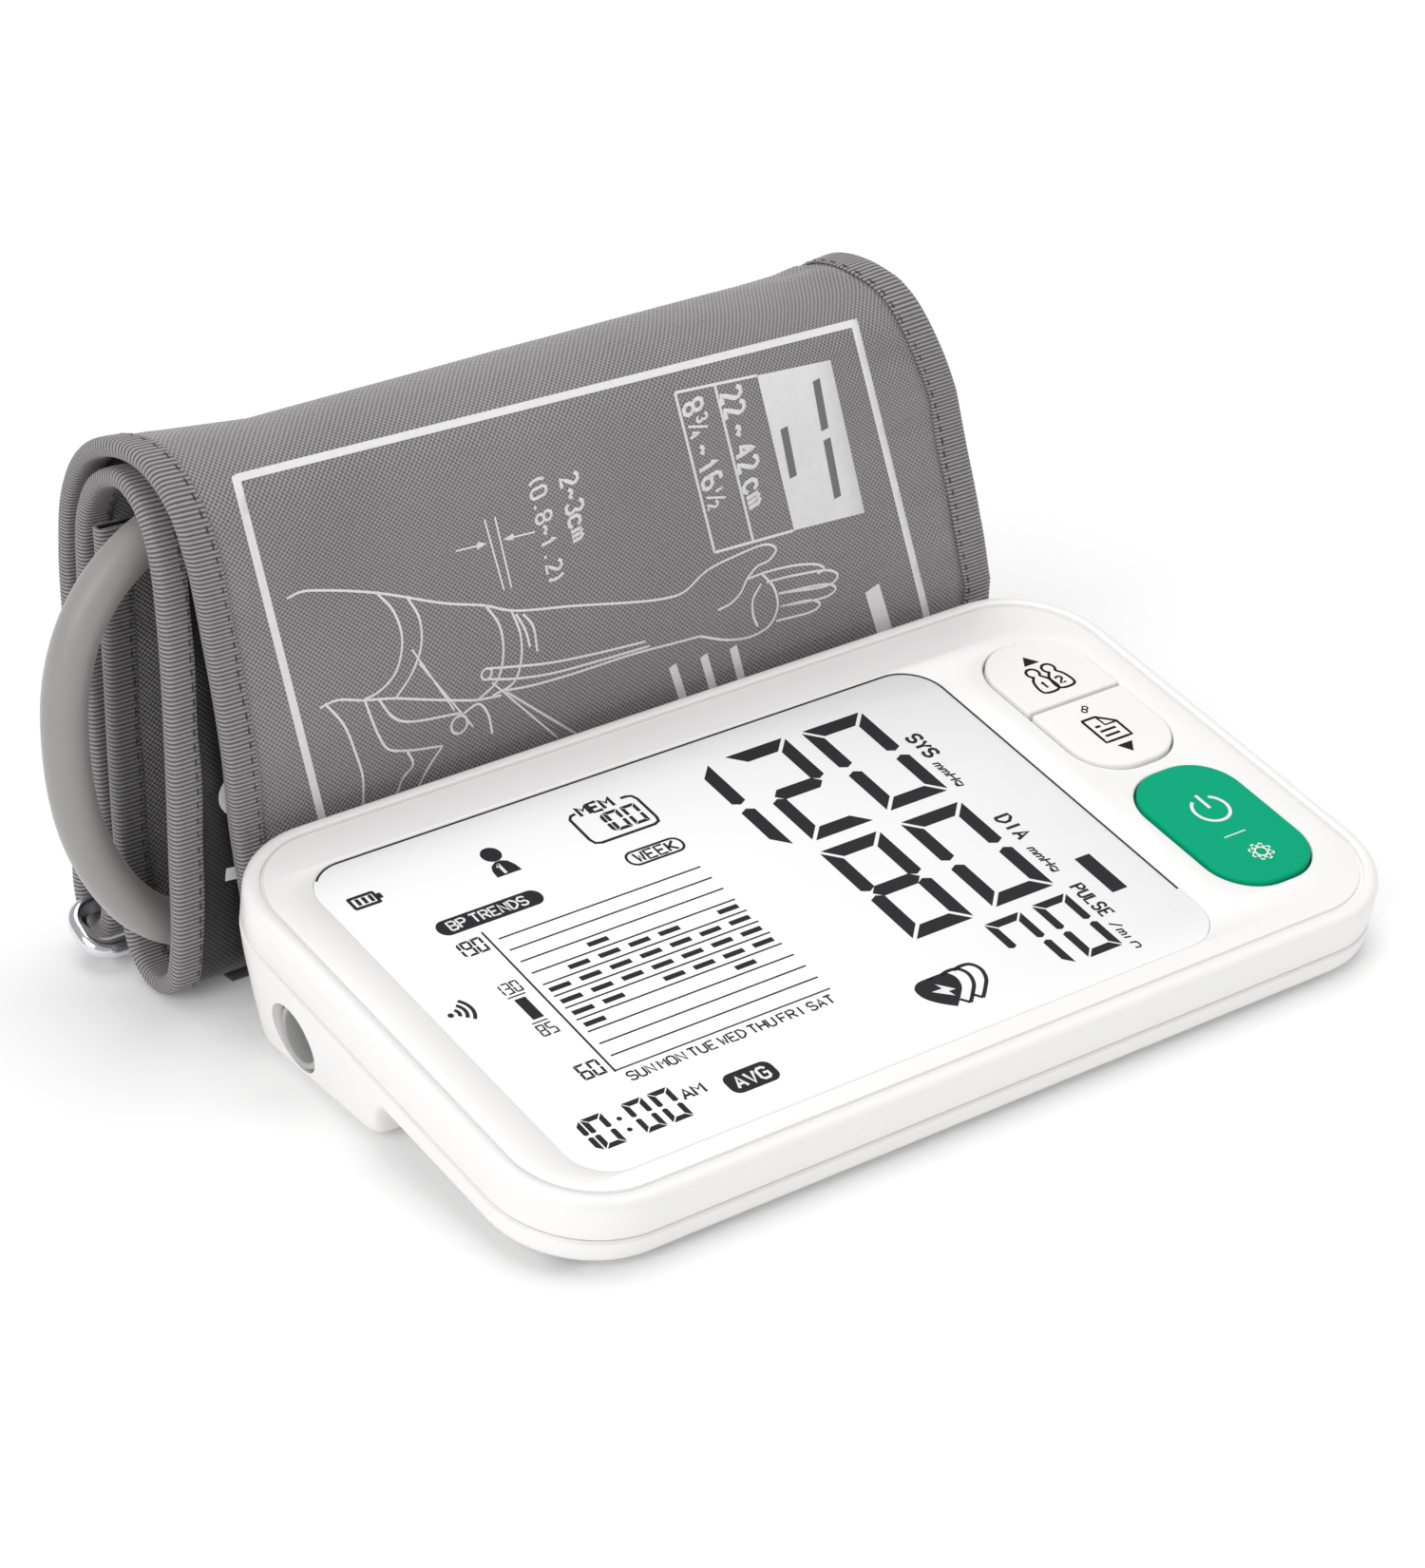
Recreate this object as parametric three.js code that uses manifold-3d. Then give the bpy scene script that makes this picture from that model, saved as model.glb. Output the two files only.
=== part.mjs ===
// Home blood pressure monitor with its rolled upper-arm cuff and air hose.
// Millimetres, +Z up, +X along the monitor's long side, +Y from its front edge towards the cuff.
// The origin ends up under the middle of the object's box, without the hose and its plug.
import * as THREE from "three";
import { mergeVertices } from "three/addons/utils/BufferGeometryUtils.js";
import Module from "manifold-3d";

const wasm = await Module();
wasm.setup();

// ---- Driving sizes of the monitor. Its case frame is x along, y to the rear, z out of the top face.
const caseLength = 165;
const caseDepth = 95;
const caseCorner = 17;
const caseTilt = THREE.MathUtils.degToRad(11.5);
const frontHeight = 12.1; // top face above the table at the front edge
const seamDepth = 6.6; // seam between the covers, below the top face
const slabDepth = 11.5; // underside of the slab, below the top face
const wall = 2;
const rimRound = 1.3;
const gap = 0.3; // between pieces that sit together
const slideGap = 0.35; // round what moves

const humpFloor = 0.8; // underside of the battery hump above the table
const humpLength = 41; // front to rear, where the hump meets its underside
const humpRear = caseDepth - 4;
const humpFront = humpRear - humpLength;
const humpInset = 3.6; // how far the hump's sides draw in at the bottom
const humpTop = 7.2; // below the top face, where the hump starts inside the slab

const keyWidth = 19.2;
const keyMargin = 8.5; // from the case's right edge
const keyRight = caseLength - keyMargin;
const keyLeft = keyRight - keyWidth;

const windowLeft = 10.5;
const windowRight = keyLeft - 7.7;
const windowFront = 7;
const windowRear = caseDepth - 10.8;
const windowCorner = 7;
const lensThick = 1.2;
const ledge = 2.4; // rim of the top cover that carries the lens

const lcdThick = 2.2;
const lcdMargin = 3; // LCD inside the window outline
const holderWall = 1.6;

const boardTop = 7.3; // below the top face
const boardThick = 1.4;
const boardDepth = 41; // front to rear, under the front of the display
const keyBoardTop = 5.4;
const keyBoardThick = 1.0;

const keyCorner = 8.2;
const startFront = 12.4;
const startRear = 42.8;
const userFront = startRear + 3.2;
const userRear = caseDepth - 13.8;
const keySplit = (userFront + userRear) / 2 + 0.7; // between the user and the memory key
const keyProud = 0.6;
const keyTravel = 1.0;
const keyFlange = 0.9;
const keyFlangeThick = 0.8;

const socketY = humpRear - 20; // the air socket's axis, from the front edge and above the table
const socketZ = 9.4;
const socketBore = 4.2; // radius
const socketWall = 1.3;
const socketLength = 9;

const cellRadius = 7.1;
const cellLength = 49.5;
const cellTip = 1.2;
const cellPitch = 2 * cellRadius + 0.4;
const cellRows = 2;
const cellsPerRow = 2;
const bayLeft = 31;
const contactThick = 0.5;
const contactGap = 1.4; // spring length between a contact plate and a cell
const firstCellY = humpFront + 14.2;
const coverThick = 1.8;
const coverMargin = 3;

const pumpRadius = 6.2;
const pumpLength = 17;
const headSize = 10;
const headLength = 8;
const tubeRadius = 1.7;

const bossRadius = 2.7;
const screwRadius = 1.2;
const screwHead = 2.5;
const screwHeadThick = 1.6;
const screwInset = 8;
const footRadius = 4.5;
const footInset = 24;
const rearFootInset = 15.6;
const rearFootY = humpFront + 11;
const footSink = 0.9;

// ---- Driving sizes of the cuff.
const cuffWidth = 146;
const cuffLeft = -0.7;
const fabric = 0.5; // one layer of cloth
const bladderThick = 0.8;
const bladderWidth = 118;
const bindingThick = 0.5;
const bindingWidth = 6.5;
const skewMost = 12; // sideways drift of the outermost turn at its loose end
const patchThick = 0.5;
const patchWidth = 96;
const clothStep = 14; // longest flat facet of the cloth
const clothTurn = THREE.MathUtils.degToRad(17); // most that one facet turns

const wireRadius = 1.5;
const ringBevel = 0.8;
const ringSpan = 8.7; // between the two long bars
const ringOverhang = 3.6; // past the cloth at each side
const tabBar = { y: 119.6, z: 3.5 };
const ringAngle = THREE.MathUtils.degToRad(29.5);
const tabThick = 0.5;
const tabWidth = 122;

const hoseRadius = 3.6;
const portFlange = 6.5;
const plugRadius = 4.8;
const plugLength = 17;

const columnRadius = screwHead + gap + 1.4;
const root = new THREE.Group();

// ---- Small tools.
const material = (color, roughness, metalness = 0) =>
  new THREE.MeshStandardMaterial({ color, roughness, metalness });
const whitePlastic = material(0xf6f5f5, 0.35);
const greyCloth = material(0x8c888b, 0.8);
const bindingCloth = material(0x77757a, 0.75);
const steel = material(0xc8c8cc, 0.25, 1);

function solid(geometry) {
  const plain = geometry.index ? geometry.toNonIndexed() : geometry.clone();
  plain.deleteAttribute("normal");
  plain.deleteAttribute("uv");
  const merged = mergeVertices(plain, 1e-4);
  return new wasm.Manifold(
    new wasm.Mesh({
      numProp: 3,
      vertProperties: new Float32Array(merged.attributes.position.array),
      triVerts: new Uint32Array(merged.index.array),
    }),
  );
}

function geometryOf(body) {
  const mesh = body.getMesh();
  const points = new Float32Array(mesh.numVert * 3);
  for (let i = 0; i < mesh.numVert; i++) {
    points.set(mesh.vertProperties.subarray(i * mesh.numProp, i * mesh.numProp + 3), i * 3);
  }
  return new THREE.BufferGeometry()
    .setAttribute("position", new THREE.BufferAttribute(points, 3))
    .setIndex(new THREE.BufferAttribute(new Uint32Array(mesh.triVerts), 1));
}

function add(parent, name, shape, finish) {
  const geometry = shape.isBufferGeometry ? shape : geometryOf(shape);
  const mesh = new THREE.Mesh(geometry, finish);
  mesh.name = name;
  parent.add(mesh);
  return mesh;
}

function box(x0, y0, z0, x1, y1, z1) {
  const block = new THREE.BoxGeometry(x1 - x0, y1 - y0, z1 - z0);
  return block.translate((x0 + x1) / 2, (y0 + y1) / 2, (z0 + z1) / 2);
}

// A cylinder from one point to another.
function rod(from, to, radius, sides = 16) {
  const start = new THREE.Vector3(...from);
  const along = new THREE.Vector3(...to).sub(start);
  const cylinder = new THREE.CylinderGeometry(radius, radius, along.length(), sides);
  cylinder.translate(0, along.length() / 2, 0);
  const turn = new THREE.Quaternion();
  turn.setFromUnitVectors(new THREE.Vector3(0, 1, 0), along.clone().normalize());
  return cylinder.applyQuaternion(turn).translate(start.x, start.y, start.z);
}

function roundedShape(x0, y0, x1, y1, radius) {
  const r = Math.min(radius, (x1 - x0) / 2 - 0.01, (y1 - y0) / 2 - 0.01);
  const shape = new THREE.Shape();
  shape.moveTo(x0 + r, y0);
  shape.lineTo(x1 - r, y0);
  shape.absarc(x1 - r, y0 + r, r, -Math.PI / 2, 0);
  shape.absarc(x1 - r, y1 - r, r, 0, Math.PI / 2);
  shape.absarc(x0 + r, y1 - r, r, Math.PI / 2, Math.PI);
  shape.absarc(x0 + r, y0 + r, r, Math.PI, 1.5 * Math.PI);
  return shape;
}

// A rounded plate between two heights.
function plate(x0, y0, x1, y1, radius, low, high, arcs = 4) {
  const options = { depth: high - low, bevelEnabled: false, curveSegments: arcs };
  return new THREE.ExtrudeGeometry(roundedShape(x0, y0, x1, y1, radius), options).translate(0, 0, low);
}

// A plate whose outline draws in towards one end: inset(t) with t from 0 at low to 1 at high.
function draftedPlate(x0, y0, x1, y1, radius, low, high, steps, inset) {
  const options = { depth: high - low, steps, bevelEnabled: false, curveSegments: 5 };
  const shape = new THREE.ExtrudeGeometry(roundedShape(x0, y0, x1, y1, radius), options);
  const p = shape.attributes.position;
  const [cx, cy] = [(x0 + x1) / 2, (y0 + y1) / 2];
  for (let i = 0; i < p.count; i++) {
    const by = inset(p.getZ(i) / (high - low));
    p.setX(i, cx + (p.getX(i) - cx) * (1 - (2 * by) / (x1 - x0)));
    p.setY(i, cy + (p.getY(i) - cy) * (1 - (2 * by) / (y1 - y0)));
  }
  return shape.translate(0, 0, low);
}

// ---- The monitor: everything in this group is tilted with the top face.
const monitor = new THREE.Group();
monitor.rotation.x = caseTilt;
monitor.position.z = frontHeight;
root.add(monitor);
monitor.updateMatrixWorld(true);
const toCase = monitor.matrixWorld.clone().invert();
const inCase = (geometry) => geometry.applyMatrix4(toCase);

// Top cover: a shell with a bevelled rim, the display window and the key holes.
const bossSpots = [
  [screwInset, screwInset],
  [caseLength - screwInset, screwInset],
  [screwInset, caseDepth - screwInset],
  [caseLength - screwInset, caseDepth - screwInset],
];
const rimInset = (t) => rimRound * (1 - Math.sqrt(Math.max(0, 1 - Math.max(0, (t - 0.75) * 4) ** 2)));
let topCover = solid(draftedPlate(0, 0, caseLength, caseDepth, caseCorner, -seamDepth, 0, 8, rimInset));
topCover = topCover.subtract(
  solid(plate(wall, wall, caseLength - wall, caseDepth - wall, caseCorner - wall, -seamDepth - 1, -wall)),
);
for (const [x, y] of bossSpots) {
  topCover = topCover.add(solid(rod([x, y, -seamDepth], [x, y, -wall + 0.5], bossRadius)));
  topCover = topCover.subtract(solid(rod([x, y, -seamDepth - 1], [x, y, -wall], screwRadius + gap, 10)));
}
const lensSeat = lensThick + gap;
// A rounded plate whose outline stands out from the given one by more, or in where it is negative.
function grownPlate([x0, y0, x1, y1], radius, more, low, high, arcs) {
  return plate(x0 - more, y0 - more, x1 + more, y1 + more, radius + more, low, high, arcs);
}
const windowOutline = [windowLeft, windowFront, windowRight, windowRear];
const startOutline = [keyLeft, startFront, keyRight, startRear];
const userOutline = [keyLeft, userFront, keyRight, userRear];
topCover = topCover
  .subtract(solid(grownPlate(windowOutline, windowCorner, gap, -lensSeat, 1)))
  .subtract(solid(grownPlate(windowOutline, windowCorner, -ledge, -wall - 1, 1)))
  .subtract(solid(grownPlate(startOutline, keyCorner, slideGap, -wall - 1, 1)))
  .subtract(solid(grownPlate(userOutline, keyCorner, slideGap, -wall - 1, 1)));
add(monitor, "top_cover", topCover, whitePlastic);

// Display stack: clear lens, LCD glass, its holder and the rubber connector strip.
add(
  monitor,
  "display_lens",
  grownPlate(windowOutline, windowCorner, 0, -lensThick, 0),
  material(0xfafbfb, 0.08),
);
const lcdTop = -wall - gap;
const lcd = {
  x0: windowLeft + lcdMargin,
  y0: windowFront + lcdMargin,
  x1: windowRight - lcdMargin,
  y1: windowRear - lcdMargin,
};
add(
  monitor,
  "lcd_panel",
  box(lcd.x0, lcd.y0, lcdTop - lcdThick, lcd.x1, lcd.y1, lcdTop),
  material(0xe9ebe9, 0.2),
);
const holderLow = lcdTop - lcdThick - gap - 0.8;
const holderOuter = solid(
  box(
    lcd.x0 - gap - holderWall,
    lcd.y0 - gap - holderWall,
    holderLow,
    lcd.x1 + gap + holderWall,
    lcd.y1 + gap + holderWall,
    lcdTop,
  ),
);
const holderPocket = solid(
  box(lcd.x0 - gap, lcd.y0 - gap, lcdTop - lcdThick - gap, lcd.x1 + gap, lcd.y1 + gap, 1),
);
const holderOpening = solid(box(lcd.x0 + 4, lcd.y0 + 1, holderLow - 1, lcd.x1 - 4, lcd.y1 - 6, 0));
add(monitor, "lcd_holder", holderOuter.subtract(holderPocket).subtract(holderOpening), whitePlastic);
add(
  monitor,
  "lcd_connector",
  box(lcd.x0 + 12, lcd.y0 + 2, -boardTop + gap, lcd.x1 - 12, lcd.y0 + 5, lcdTop - lcdThick - gap),
  material(0xd8a8a0, 0.7),
);

// Boards and the key mat.
add(
  monitor,
  "circuit_board",
  box(screwInset + columnRadius + 0.6, wall + 2, -boardTop - boardThick, keyLeft - 2, boardDepth, -boardTop),
  material(0x1d6b3a, 0.5),
);
add(
  monitor,
  "key_board",
  box(
    keyLeft - keyFlange - 0.5,
    startFront - 1.1,
    -keyBoardTop - keyBoardThick,
    keyRight + keyFlange + 0.5,
    userRear - 2,
    -keyBoardTop,
  ),
  material(0x1d6b3a, 0.5),
);
const keyLow = -wall - gap - keyFlangeThick;
let keyMat = solid(
  box(keyLeft - 1, startFront - 1, -keyBoardTop + gap, keyRight + 1, userRear - 3, -keyBoardTop + gap + 0.5),
);
const keyCentre = (keyLeft + keyRight) / 2;
const domeCentres = [
  (startFront + startRear) / 2,
  (userFront + keySplit) / 2,
  (keySplit + userRear) / 2,
];
for (const y of domeCentres) {
  const dome = rod([keyCentre, y, -keyBoardTop + gap], [keyCentre, y, keyLow - keyTravel - gap], 3, 12);
  keyMat = keyMat.add(solid(dome));
}
add(monitor, "key_mat", keyMat, material(0xd9d9d6, 0.8));

// Keys: a pill, or half of one, with a flange under the cover.
function key(pill, from = 0, to = caseDepth) {
  const cap = solid(grownPlate(pill, keyCorner, 0, keyLow, keyProud, 6));
  const flange = solid(grownPlate(pill, keyCorner, keyFlange, keyLow, keyLow + keyFlangeThick));
  return cap.add(flange).intersect(solid(box(0, from, keyLow - 1, caseLength, to, keyProud + 1)));
}
const keyWhite = material(0xf6f2f0, 0.4);
add(monitor, "start_button", key(startOutline), material(0x08b487, 0.4));
add(monitor, "user_button", key(userOutline, keySplit + gap / 2), keyWhite);
add(monitor, "memory_button", key(userOutline, 0, keySplit - gap / 2), keyWhite);

// Bottom cover: the slab's lower half with the battery hump under its rear.
function humpProfile(inset) {
  // side outline in world y and z; the hump's walls draw in by the inset
  const shape = new THREE.Shape();
  const low = humpFloor + inset;
  const front = humpFront + inset;
  const rear = humpRear - inset;
  shape.moveTo(front - 4.5, 26);
  shape.lineTo(front - 3.5, low + 6);
  shape.quadraticCurveTo(front - 2.5, low, front + 4, low);
  shape.lineTo(rear - 9, low);
  shape.quadraticCurveTo(rear + 0.5, low, rear + 1, low + 9);
  shape.lineTo(rear + 2.2, 34);
  return shape;
}
function humpBody(inset) {
  const options = { depth: caseLength, bevelEnabled: false, curveSegments: 5 };
  const profile = new THREE.ExtrudeGeometry(humpProfile(inset), options);
  profile.applyMatrix4(new THREE.Matrix4().set(0, 0, 1, 0, 1, 0, 0, 0, 0, 1, 0, 0, 0, 0, 0, 1));
  const drop = 30;
  const plan = draftedPlate(
    inset,
    inset,
    caseLength - inset,
    caseDepth - inset,
    caseCorner - inset,
    -drop,
    -humpTop - inset / 2,
    5,
    (t) => 1.4 * humpInset * (1 - t) ** 1.3,
  );
  return solid(inCase(profile)).intersect(solid(plan));
}
const underRound = (t) => 2.2 * (1 - Math.sqrt(Math.max(0, 1 - Math.max(0, 1 - t * 2) ** 2)));
const slabLow = -slabDepth;
const slabHigh = -seamDepth - gap;
let bottomCover = solid(
  draftedPlate(0, 0, caseLength, caseDepth, caseCorner, slabLow, slabHigh, 6, underRound),
).add(humpBody(0));
const slabHollow = plate(
  wall,
  wall,
  caseLength - wall,
  caseDepth - wall,
  caseCorner - wall,
  slabLow + wall,
  slabHigh + 1,
);
bottomCover = bottomCover.subtract(solid(slabHollow)).subtract(humpBody(wall));
for (const [x, y] of bossSpots) {
  const floorZ = y > caseDepth / 2 ? -26 : slabLow;
  const column = solid(rod([x, y, floorZ], [x, y, slabHigh], columnRadius)).intersect(
    solid(draftedPlate(0, 0, caseLength, caseDepth, caseCorner, slabLow, slabHigh, 6, underRound)).add(
      humpBody(0),
    ),
  );
  bottomCover = bottomCover.add(column);
}
const headSeat = slabHigh - 2.2;
for (const [x, y] of bossSpots) {
  bottomCover = bottomCover
    .subtract(solid(rod([x, y, -40], [x, y, slabHigh + 1], screwRadius + gap, 12)))
    .subtract(solid(rod([x, y, -40], [x, y, headSeat], screwHead + gap)));
}

// Battery bay, its sliding cover and the cells.
const bayLength = cellsPerRow * (cellLength + cellTip) + 2 * (contactGap + contactThick);
const bayRight = bayLeft + bayLength;
const lastCellY = firstCellY + (cellRows - 1) * cellPitch;
const bayRear = lastCellY + cellRadius + 0.6;
const coverLeft = bayLeft - coverMargin;
const coverRight = bayRight + coverMargin;
const coverTop = humpFloor + coverThick;
const coverHole = inCase(
  box(coverLeft - slideGap, 20, -5, coverRight + slideGap, bayRear + slideGap, coverTop + slideGap),
);
bottomCover = bottomCover.subtract(solid(coverHole));
const batteryCover = solid(
  inCase(box(coverLeft, 20, humpFloor - 0.01, coverRight, bayRear, coverTop)),
).intersect(humpBody(0));
add(monitor, "battery_cover", batteryCover, whitePlastic);

const cellFinish = material(0x3a6ea5, 0.4, 0.3);
const cellZ = coverTop + gap + cellRadius;
let cellNumber = 0;
for (let row = 0; row < cellRows; row++) {
  for (let column = 0; column < cellsPerRow; column++) {
    cellNumber += 1;
    const y = firstCellY + row * cellPitch;
    const x0 = bayLeft + contactThick + contactGap + column * (cellLength + cellTip + gap / 3);
    const flip = row % 2 === 1;
    const bodyFrom = flip ? x0 + cellTip : x0;
    const can = solid(rod([bodyFrom, y, cellZ], [bodyFrom + cellLength - gap, y, cellZ], cellRadius, 20));
    const tipFrom = flip ? x0 + gap : x0 + cellLength - gap - 0.2;
    const tip = solid(rod([tipFrom, y, cellZ], [tipFrom + cellTip, y, cellZ], 2.6, 12));
    const cell = add(monitor, `battery_${cellNumber}`, can.add(tip), cellFinish);
    cell.geometry.applyMatrix4(toCase);
  }
}
const contactHalf = (cellRows - 1) * cellPitch * 0.5 + 4.5;
const contactMiddle = (firstCellY + lastCellY) / 2;
const contactSpots = { left: bayLeft, right: bayRight - contactThick };
for (const [side, x] of Object.entries(contactSpots)) {
  const sheet = box(
    x,
    contactMiddle - contactHalf,
    cellZ - 4,
    x + contactThick,
    contactMiddle + contactHalf,
    cellZ + 4,
  );
  add(monitor, `battery_contact_${side}`, inCase(sheet), steel);
}

// Air path: socket, seal, line to the pump, valve and sensor.
const socketOuter = socketBore + socketWall;
const socketFrom = 3.4; // recessed in the hump's left wall
const socketAxis = (x) => [x, socketY, socketZ];
bottomCover = bottomCover.subtract(
  solid(inCase(rod(socketAxis(-4), socketAxis(wall + 8), socketOuter + gap, 24))),
);
const nippleRadius = 1.6;
const nippleLength = 5;
const socketEnd = socketFrom + socketLength;
let airSocket = solid(rod(socketAxis(socketFrom), socketAxis(socketEnd), socketOuter, 24));
airSocket = airSocket
  .subtract(solid(rod(socketAxis(-4), socketAxis(socketEnd - 2), socketBore, 24)))
  .add(solid(rod(socketAxis(socketEnd - 3), socketAxis(socketEnd + nippleLength), nippleRadius)))
  .subtract(solid(rod(socketAxis(0), socketAxis(socketEnd + 9), 0.7, 8)));
add(monitor, "air_socket", airSocket, material(0xbdbdbb, 0.5)).geometry.applyMatrix4(toCase);
const sealFrom = socketEnd - 4;
const seal = solid(rod(socketAxis(sealFrom), socketAxis(sealFrom + 1.7), socketBore - gap, 20)).subtract(
  solid(rod(socketAxis(sealFrom - 1), socketAxis(sealFrom + 3), 2.2, 16)),
);
add(monitor, "socket_seal", seal, material(0x4a4a4a, 0.8)).geometry.applyMatrix4(toCase);

const pumpX = bayRight + 12;
const pumpFrom = humpFront + 10;
const pumpZ = humpFloor + wall + gap + pumpRadius + 1;
const headFrom = pumpFrom + pumpLength + gap;
const motor = rod([pumpX, pumpFrom, pumpZ], [pumpX, pumpFrom + pumpLength, pumpZ], pumpRadius, 20);
add(monitor, "pump_motor", inCase(motor), steel);
const pumpHead = solid(
  box(
    pumpX - headSize / 2,
    headFrom,
    pumpZ - headSize / 2,
    pumpX + headSize / 2,
    headFrom + headLength,
    pumpZ + headSize / 2,
  ),
);
add(monitor, "pump_head", pumpHead, material(0xe4e0d2, 0.6)).geometry.applyMatrix4(toCase);

const lineY = humpFront + 4.6;
const lineZ = 8.2;
const airLineRoute = new THREE.CatmullRomCurve3(
  [
    [socketEnd + nippleLength + gap, socketY, socketZ],
    [socketEnd + 8, socketY, socketZ],
    [socketEnd + 12.2, socketY - 3.4, socketZ - 0.2],
    [socketEnd + 13.6, lineY + 7, lineZ + 0.6],
    [bayLeft - 0.5, lineY + 0.9, lineZ],
    [bayLeft + 9, lineY, lineZ],
    [bayLeft + 49, lineY, lineZ],
    [pumpX - 20, lineY, lineZ],
    [pumpX - 8, lineY, lineZ],
    [pumpX, pumpFrom - 6, pumpZ],
    [pumpX, pumpFrom - gap, pumpZ],
  ].map((p) => new THREE.Vector3(...p)),
  false,
  "centripetal",
);
const circle = (radius) => {
  const shape = new THREE.Shape();
  shape.absarc(0, 0, radius, 0, 2 * Math.PI);
  return shape;
};
const sweep = (route, radius, steps, sides) =>
  new THREE.ExtrudeGeometry(circle(radius), {
    steps,
    curveSegments: sides / 2,
    bevelEnabled: false,
    extrudePath: route,
  });
add(monitor, "air_line", inCase(sweep(airLineRoute, tubeRadius, 44, 8)), material(0xd5d8d8, 0.4));
const valveRear = humpRear - 7.5;
const valve = box(14, valveRear - 7, 6, 25, valveRear, 13);
add(monitor, "release_valve", inCase(valve), material(0x30343a, 0.5));
const sensorX = windowRight - 17.6;
add(
  monitor,
  "pressure_sensor",
  box(sensorX, 26, -boardTop + gap, sensorX + 8, 34, -boardTop + gap + 1),
  material(0x222222, 0.5),
);
const rearFeet = [rearFootInset, caseLength - rearFootInset];
for (const x of rearFeet) {
  const recess = rod([x, rearFootY, -5], [x, rearFootY, humpFloor + footSink], footRadius + gap, 18);
  bottomCover = bottomCover.subtract(solid(inCase(recess)));
}
add(monitor, "bottom_cover", bottomCover, whitePlastic);

// Screws from below, and feet.
bossSpots.forEach(([x, y], i) => {
  const head = solid(rod([x, y, headSeat - gap - screwHeadThick], [x, y, headSeat - gap], screwHead, 16));
  const shank = solid(rod([x, y, headSeat - 1], [x, y, -wall - 1], screwRadius, 10));
  const slot = solid(
    box(x - 1.6, y - 0.3, headSeat - gap - screwHeadThick - 1, x + 1.6, y + 0.3, headSeat - gap - 1),
  );
  add(monitor, `case_screw_${i + 1}`, head.add(shank).subtract(slot), steel);
});
const rubber = material(0x6f6f70, 0.85);
rearFeet.forEach((x, i) => {
  const pad = rod([x, rearFootY, 0], [x, rearFootY, humpFloor + footSink - gap], footRadius, 18);
  add(monitor, `rear_foot_${i + 1}`, inCase(pad), rubber);
});
const aboveSlab = solid(box(-5, -5, slabLow - gap, caseLength + 5, caseDepth, 20));
[footInset, caseLength - footInset].forEach((x, i) => {
  const pad = solid(inCase(rod([x, 13, 0], [x, 13, 12], footRadius, 18)));
  add(monitor, `front_foot_${i + 1}`, pad.subtract(aboveSlab), rubber);
});

// ---- The cuff: one strip, threaded through its ring and rolled up. Its centre line in y and z runs from
// the inner flap, down the back, under, up the front, over and down the back, round the ring's bar,
// up the back again, over and down the front.
const stripLine = new THREE.CatmullRomCurve3(
  [
    [117.2, 78],
    [117.0, 62],
    [117.4, 36],
    [116.9, 14],
    [114.5, 4.9],
    [109.5, 2.1],
    [104.2, 4.0],
    [101.7, 11],
    [100.6, 26],
    [99.8, 46],
    [99.8, 68],
    [101.6, 80],
    [105.6, 86.4],
    [111.2, 88.6],
    [117.8, 85.6],
    [121.9, 78.6],
    [123.4, 66],
    [123.8, 48],
    [122.8, 28],
    [122.5, 16],
    [122.6, 9.2],
    [124.1, 4.9],
    [127.2, 3.5],
    [130.1, 4.9],
    [131.4, 9],
    [131.0, 17],
    [129.2, 32],
    [128.8, 52],
    [128.4, 70],
    [126.4, 82],
    [121.4, 90.4],
    [113.6, 94.3],
    [105.4, 93.6],
    [99.2, 88.4],
    [96.0, 79],
    [95.3, 62],
    [95.5, 44],
    [97.0, 31],
    [97.3, 16],
    [97.3, 2.6],
  ].map(([y, z]) => new THREE.Vector3(0, y, z)),
  false,
  "centripetal",
);
const stripLength = stripLine.getLength();
const half = fabric + gap + bladderThick / 2; // centre line to the outside of the cloth
const skewFrom = stripLength - 104;

// A place on the strip: s along it, t out of its printed side, x across it.
function onStrip(s, t, x) {
  const u = THREE.MathUtils.clamp(s / stripLength, 0, 1);
  const centre = stripLine.getPointAt(u);
  const along = stripLine.getTangentAt(u);
  const drift = skewMost * Math.max(0, (s - skewFrom) / (stripLength - skewFrom));
  return new THREE.Vector3(
    cuffLeft + x + drift,
    centre.y - along.z * t,
    centre.z + along.y * t,
  );
}

// A shape drawn as x across and y out of the strip, bent along it from s0 to s1. All pieces share the
// same stations, so their facets stay parallel.
const stations = [];
let lastTurn = stripLine.getTangentAt(0);
let lastStation = 0;
for (let s = 1; s < stripLength - 1; s += 1) {
  const along = stripLine.getTangentAt(s / stripLength);
  if (s - lastStation >= clothStep || along.angleTo(lastTurn) > clothTurn) {
    stations.push(s);
    lastStation = s;
    lastTurn = along;
  }
}
function stationsBetween(s0, s1) {
  return [s0, ...stations.filter((s) => s > s0 + 0.5 && s < s1 - 0.5), s1];
}
function bend(shape, s0, s1) {
  const places = stationsBetween(s0, s1);
  const steps = places.length - 1;
  const cloth = new THREE.ExtrudeGeometry(shape, { depth: 1, steps, bevelEnabled: false });
  const p = cloth.attributes.position;
  for (let i = 0; i < p.count; i++) {
    const s = places[Math.round(p.getZ(i) * steps)];
    p.setXYZ(i, ...onStrip(s, p.getY(i), p.getX(i)).toArray());
  }
  const body = solid(cloth);
  return body.volume() > 0 ? body : solid(flipped(cloth));
}
function flipped(geometry) {
  const turned = geometry.clone();
  const a = turned.attributes.position.array;
  for (let i = 0; i < a.length; i += 9) {
    for (let k = 0; k < 3; k++) {
      [a[i + 3 + k], a[i + 6 + k]] = [a[i + 6 + k], a[i + 3 + k]];
    }
  }
  return turned;
}
const outline = (points) => new THREE.Shape(points.map(([x, y]) => new THREE.Vector2(x, y)));
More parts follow.
